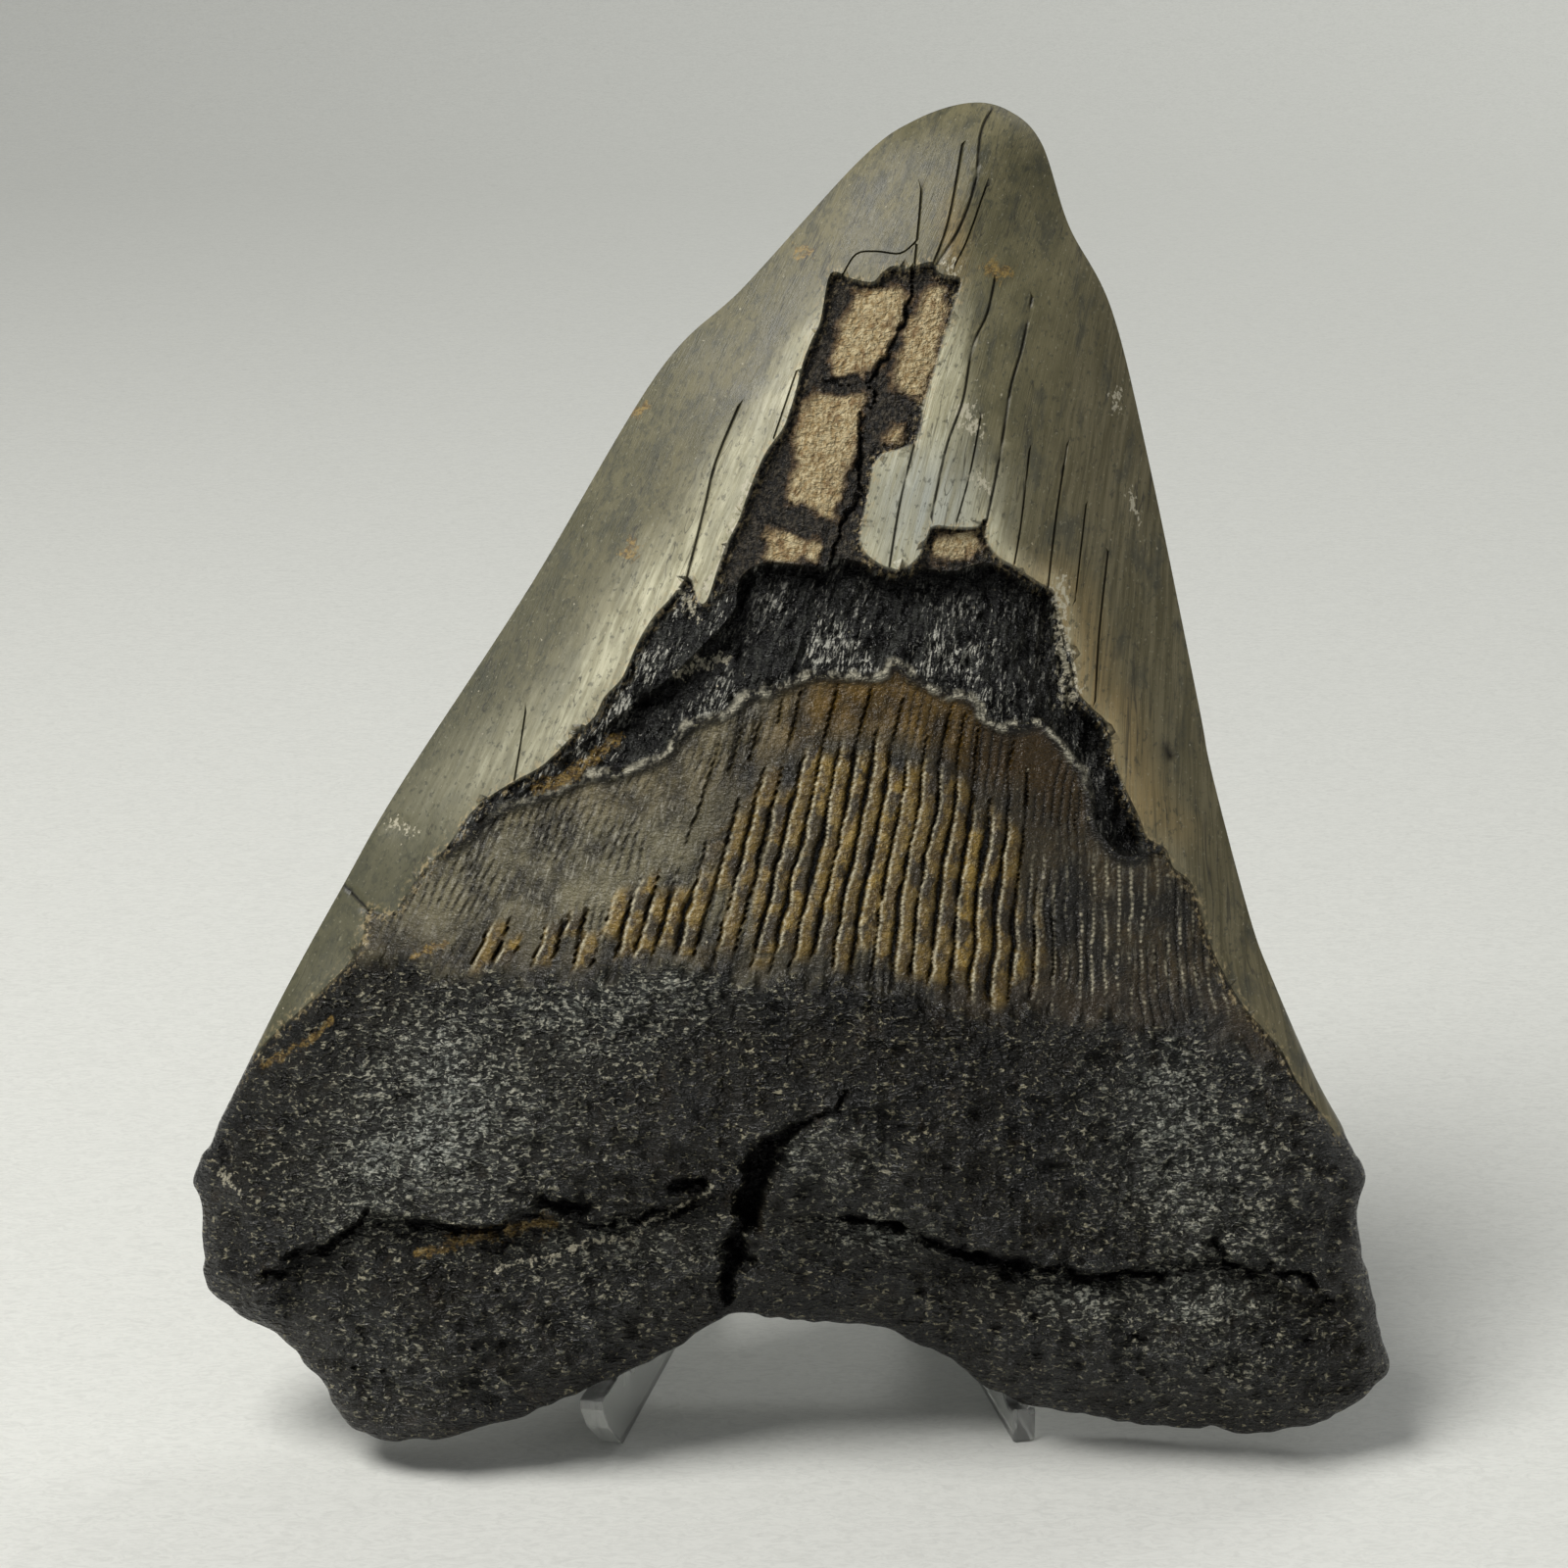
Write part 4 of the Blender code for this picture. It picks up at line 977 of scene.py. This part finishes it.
def hollow_colour(s):
    """Dark fibres with painted bright glints, and painted shadow under the broken shelf."""
    fibre = s.cloud(s.scaled(s.grain, (1.8, 0.4, 1.0)), 1.0, 4.0, 0.6, 0.3)
    colour = s.two(fibre, 0.44, 0.64, (7, 7, 7), (58, 59, 55))
    # Painted glints
    glints = s.cloud(s.scaled(s.grain, (3.4, 1.1, 1.0)), 1.0, 2.0, 0.55, 0.6)
    glints = s.math("ADD", glints, s.product(s.mottle, 0.8))
    colour = s.mix(s.span(glints, 0.99, 1.09, 0, 0.92), colour, tone(184, 183, 172))
    # Painted shadow under the shelf
    return s.mix(s.product(s.mask("deep"), 0.85), colour, tone(9, 9, 8))


def window_colour(s):
    """Dark dentine with crumbly tan patches, brown along their rims."""
    tan = s.two(s.grit, 0.35, 0.65, (158, 134, 92), (208, 192, 152))
    stain = s.span(s.cloud(s.grain, 0.6, 4.0, 0.6), 0.50, 0.66, 0, 0.65)
    tan = s.mix(stain, tan, tone(124, 92, 54))
    rim = s.two(s.grit, 0.4, 0.6, (52, 40, 28), (96, 76, 52))
    tan = s.mix(s.mask("core"), rim, tan)
    return s.mix(s.mask("patch"), s.two(s.grit, 0.42, 0.6, (22, 20, 17), (66, 60, 50)), tan)


def bare_colour(s):
    colour = s.mix(s.mask("band"), root_colour(s), band_colour(s))
    colour = s.mix(s.mask("hollow"), colour, hollow_colour(s))
    colour = s.mix(s.mask("window"), colour, window_colour(s))
    crumbly = s.span(s.cloud(s.grain, 0.45, 3.0, 0.7), 0.44, 0.60, 0.0, 0.9)
    return s.mix(s.product(s.mask("rim"), crumbly), colour, tone(192, 187, 166))


def marked(s, colour):
    """Chips along the enamel's edge, small cream and ochre marks, and the dark mask: painted shade in the
    root's cracks, groove, pits and pores, and dark lines along the enamel's cracks.
    """
    chips = s.product(s.mask("edge"), s.span(s.grit, 0.50, 0.62))
    colour = s.mix(s.product(chips, 0.65), colour, tone(176, 158, 118))
    crumbled = s.math("SUBTRACT", s.grit, 0.5)
    cream = s.math("ADD", s.mask("cream"), s.product(crumbled, 4.0))
    colour = s.mix(s.span(cream, 0.70, 1.0, 0, 0.85), colour, tone(186, 180, 158))
    ochre = s.math("ADD", s.mask("ochre"), s.product(crumbled, 2.6))
    colour = s.mix(s.span(ochre, 0.50, 1.0, 0, 0.75), colour,
                      s.two(s.speck, 0.4, 0.6, (88, 68, 32), (150, 124, 66)))
    # The dark mask: painted shade in recesses, and dark enamel cracks
    return s.mix(s.mask("dark"), colour, tone(14, 13, 12))


def finish_surface(s):
    """Gloss, and the bump of grains too fine for the mesh."""
    on_enamel, band = s.mask("enamel"), s.mask("band")
    on_bare = s.mix(s.span(s.speck, 0.46, 0.64), (0.44,) * 3, (0.26,) * 3)
    satin = s.mix(s.span(s.mottle, 0.35, 0.65), (0.38,) * 3, (0.50,) * 3)
    s.put(s.main, "Roughness", s.mix(on_enamel, on_bare, satin))
    s.main.inputs["Specular IOR Level"].default_value = 0.42
    flakes = s.cloud(s.scaled(s.grain, (0.0, 2.8, 1.1)), 1.0, 1.0, 0.5, 0.5)
    other = s.math("MAXIMUM", band, s.math("MAXIMUM", s.mask("hollow"), s.mask("window")))
    flaky = s.product(flakes, s.span(other, 0.0, 0.8, 1.5, 0.0))
    coarse = s.math("ADD", s.product(s.clump, 1.5), flaky)
    on_stone = s.math("SUBTRACT", s.math("SUBTRACT", 1.0, on_enamel), s.product(band, 0.6))
    fine = s.math("ADD", s.speck, s.product(s.grit, 0.5))
    grainy = s.product(on_stone, s.math("ADD", coarse, fine))
    streaky = s.product(on_enamel, s.product(s.fine_streaks, 0.07))
    s.put(s.main, "Normal", s.bump(s.math("ADD", grainy, streaky), 1.0, 0.9 * MM))


def fossil_material():
    """Material of the tooth: each bare or covered area has its own colour, chosen by the masks."""
    s = Shader("fossil_tooth")
    s.grain = s.mask("grain", "Vector")
    s.streaks = s.cloud(s.scaled(s.grain, (1.6, 0.09, 0.4)), 1.0, 5.0, 0.6)
    s.fine_streaks = s.cloud(s.scaled(s.grain, (5.0, 0.22, 1.0)), 1.0, 4.0, 0.6)
    s.mottle = s.cloud(s.grain, 0.16, 5.0, 0.62)
    s.grit = s.cloud(s.grain, 1.6, 4.0, 0.6)
    s.speck = s.cloud(s.scaled(s.grain, (0.0, 2.5, 1.4)), 1.0, 2.0, 0.55, 0.9)
    s.clump = s.cloud(s.grain, 0.55, 3.0, 0.6)
    colour = s.mix(s.mask("enamel"), bare_colour(s), enamel_colour(s))
    s.put(s.main, "Base Color", marked(s, colour))
    finish_surface(s)
    return s.material


def acrylic_material():
    s = Shader("clear_acrylic_sheet")
    place = s.nodes.new("ShaderNodeTexCoord").outputs["Object"]
    smear = s.cloud(place, 90.0, 4.0, 0.6)
    s.put(s.main, "Base Color", s.two(smear, 0.3, 0.7, (226, 228, 224), (238, 239, 236)))
    s.put(s.main, "Roughness", s.span(smear, 0.4, 0.8, 0.22, 0.34))
    s.main.inputs["Transmission Weight"].default_value = 0.8
    s.main.inputs["IOR"].default_value = 1.49
    s.put(s.main, "Normal", s.bump(s.cloud(place, 400.0, 3.0), 0.05, 0.0002))
    return s.material


def backdrop_material():
    s = Shader("pale_sheet")
    place = s.nodes.new("ShaderNodeTexCoord").outputs["Object"]
    fibres = s.cloud(s.scaled(place, (1.0, 2.2, 1.0)), 420.0, 3.0, 0.7, 2.0)
    s.put(s.main, "Base Color", s.two(fibres, 0.35, 0.75, (220, 221, 216), (207, 208, 203)))
    s.main.inputs["Roughness"].default_value = 0.75
    s.put(s.main, "Normal", s.bump(fibres, 0.08, 0.0003))
    return s.material


def make_backdrop():
    """Floor that curves up into a wall well behind the object."""
    bend, radius, steps = FLOOR_BEND, FLOOR_RADIUS, 16
    profile = [(FLOOR_FRONT, 0.0), (bend, 0.0)]
    profile += [(bend + radius * math.sin(a), radius - radius * math.cos(a))
                for a in (0.5 * math.pi * k / steps for k in range(1, steps + 1))]
    profile.append((bend + radius, WALL_TOP))
    verts = [(x, y, z) for y, z in profile for x in (-FLOOR_HALF, FLOOR_HALF)]
    faces = [(2 * i, 2 * i + 1, 2 * i + 3, 2 * i + 2) for i in range(len(profile) - 1)]
    mesh = bpy.data.meshes.new("backdrop")
    mesh.from_pydata(verts, [], faces)
    mesh.shade_smooth()
    mesh.materials.append(backdrop_material())
    floor = bpy.data.objects.new("backdrop", mesh)
    bpy.context.scene.collection.objects.link(floor)
    return floor


def add_light(name, at, target, size, power, colour):
    data = bpy.data.lights.new(name, "AREA")
    data.shape, data.size, data.energy, data.color = "DISK", size, power, colour
    light = bpy.data.objects.new(name, data)
    light.location = at
    light.rotation_euler = (Vector(target) - Vector(at)).to_track_quat("-Z", "Y").to_euler()
    bpy.context.scene.collection.objects.link(light)


def light_scene():
    """Soft key from upper left, faint fill from the right, and a wash over the floor behind."""
    for light in LIGHTS:
        add_light(*light)
    world = bpy.data.worlds.new("studio")
    bpy.context.scene.world = world
    world.use_nodes = True
    sky = world.node_tree.nodes["Background"]
    sky.inputs["Color"].default_value = (*SKY_COLOUR, 1)
    sky.inputs["Strength"].default_value = SKY_STRENGTH


def place_camera():
    """Square on to the tooth's plane, framed as the photograph is."""
    data = bpy.data.cameras.new("camera")
    data.lens, data.sensor_width, data.sensor_fit = LENS, SENSOR, "HORIZONTAL"
    centre = FRAME_PIXELS / 2
    u = (centre - ZERO_PIXEL[0]) * PER_PIXEL
    v = (ZERO_PIXEL[1] - centre) * PER_PIXEL
    away = FRAME_PIXELS * PER_PIXEL * LENS / SENSOR
    target = Vector(to_world(np.array([[u, v]]), np.array([0.0]))[0])
    spot = Vector(to_world(np.array([[u, v]]), np.array([away]))[0])
    camera = bpy.data.objects.new("camera", data)
    camera.location = spot
    camera.rotation_euler = (target - spot).to_track_quat("-Z", "Y").to_euler()
    data.clip_start, data.clip_end = 0.01, 20
    bpy.context.scene.collection.objects.link(camera)
    bpy.context.scene.camera = camera


def main():
    tooth = make_tooth()
    tooth.data.materials.append(fossil_material())
    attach(tooth, "root")
    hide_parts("tooth")
    acrylic = acrylic_material()
    for name in ("stand_plate_left", "stand_plate_right", "cross_bar"):
        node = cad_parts[name]
        node.data.materials.clear()
        node.data.materials.append(acrylic)
    make_backdrop()
    light_scene()
    place_camera()
    bpy.context.scene.view_settings.view_transform = "Standard"


main()
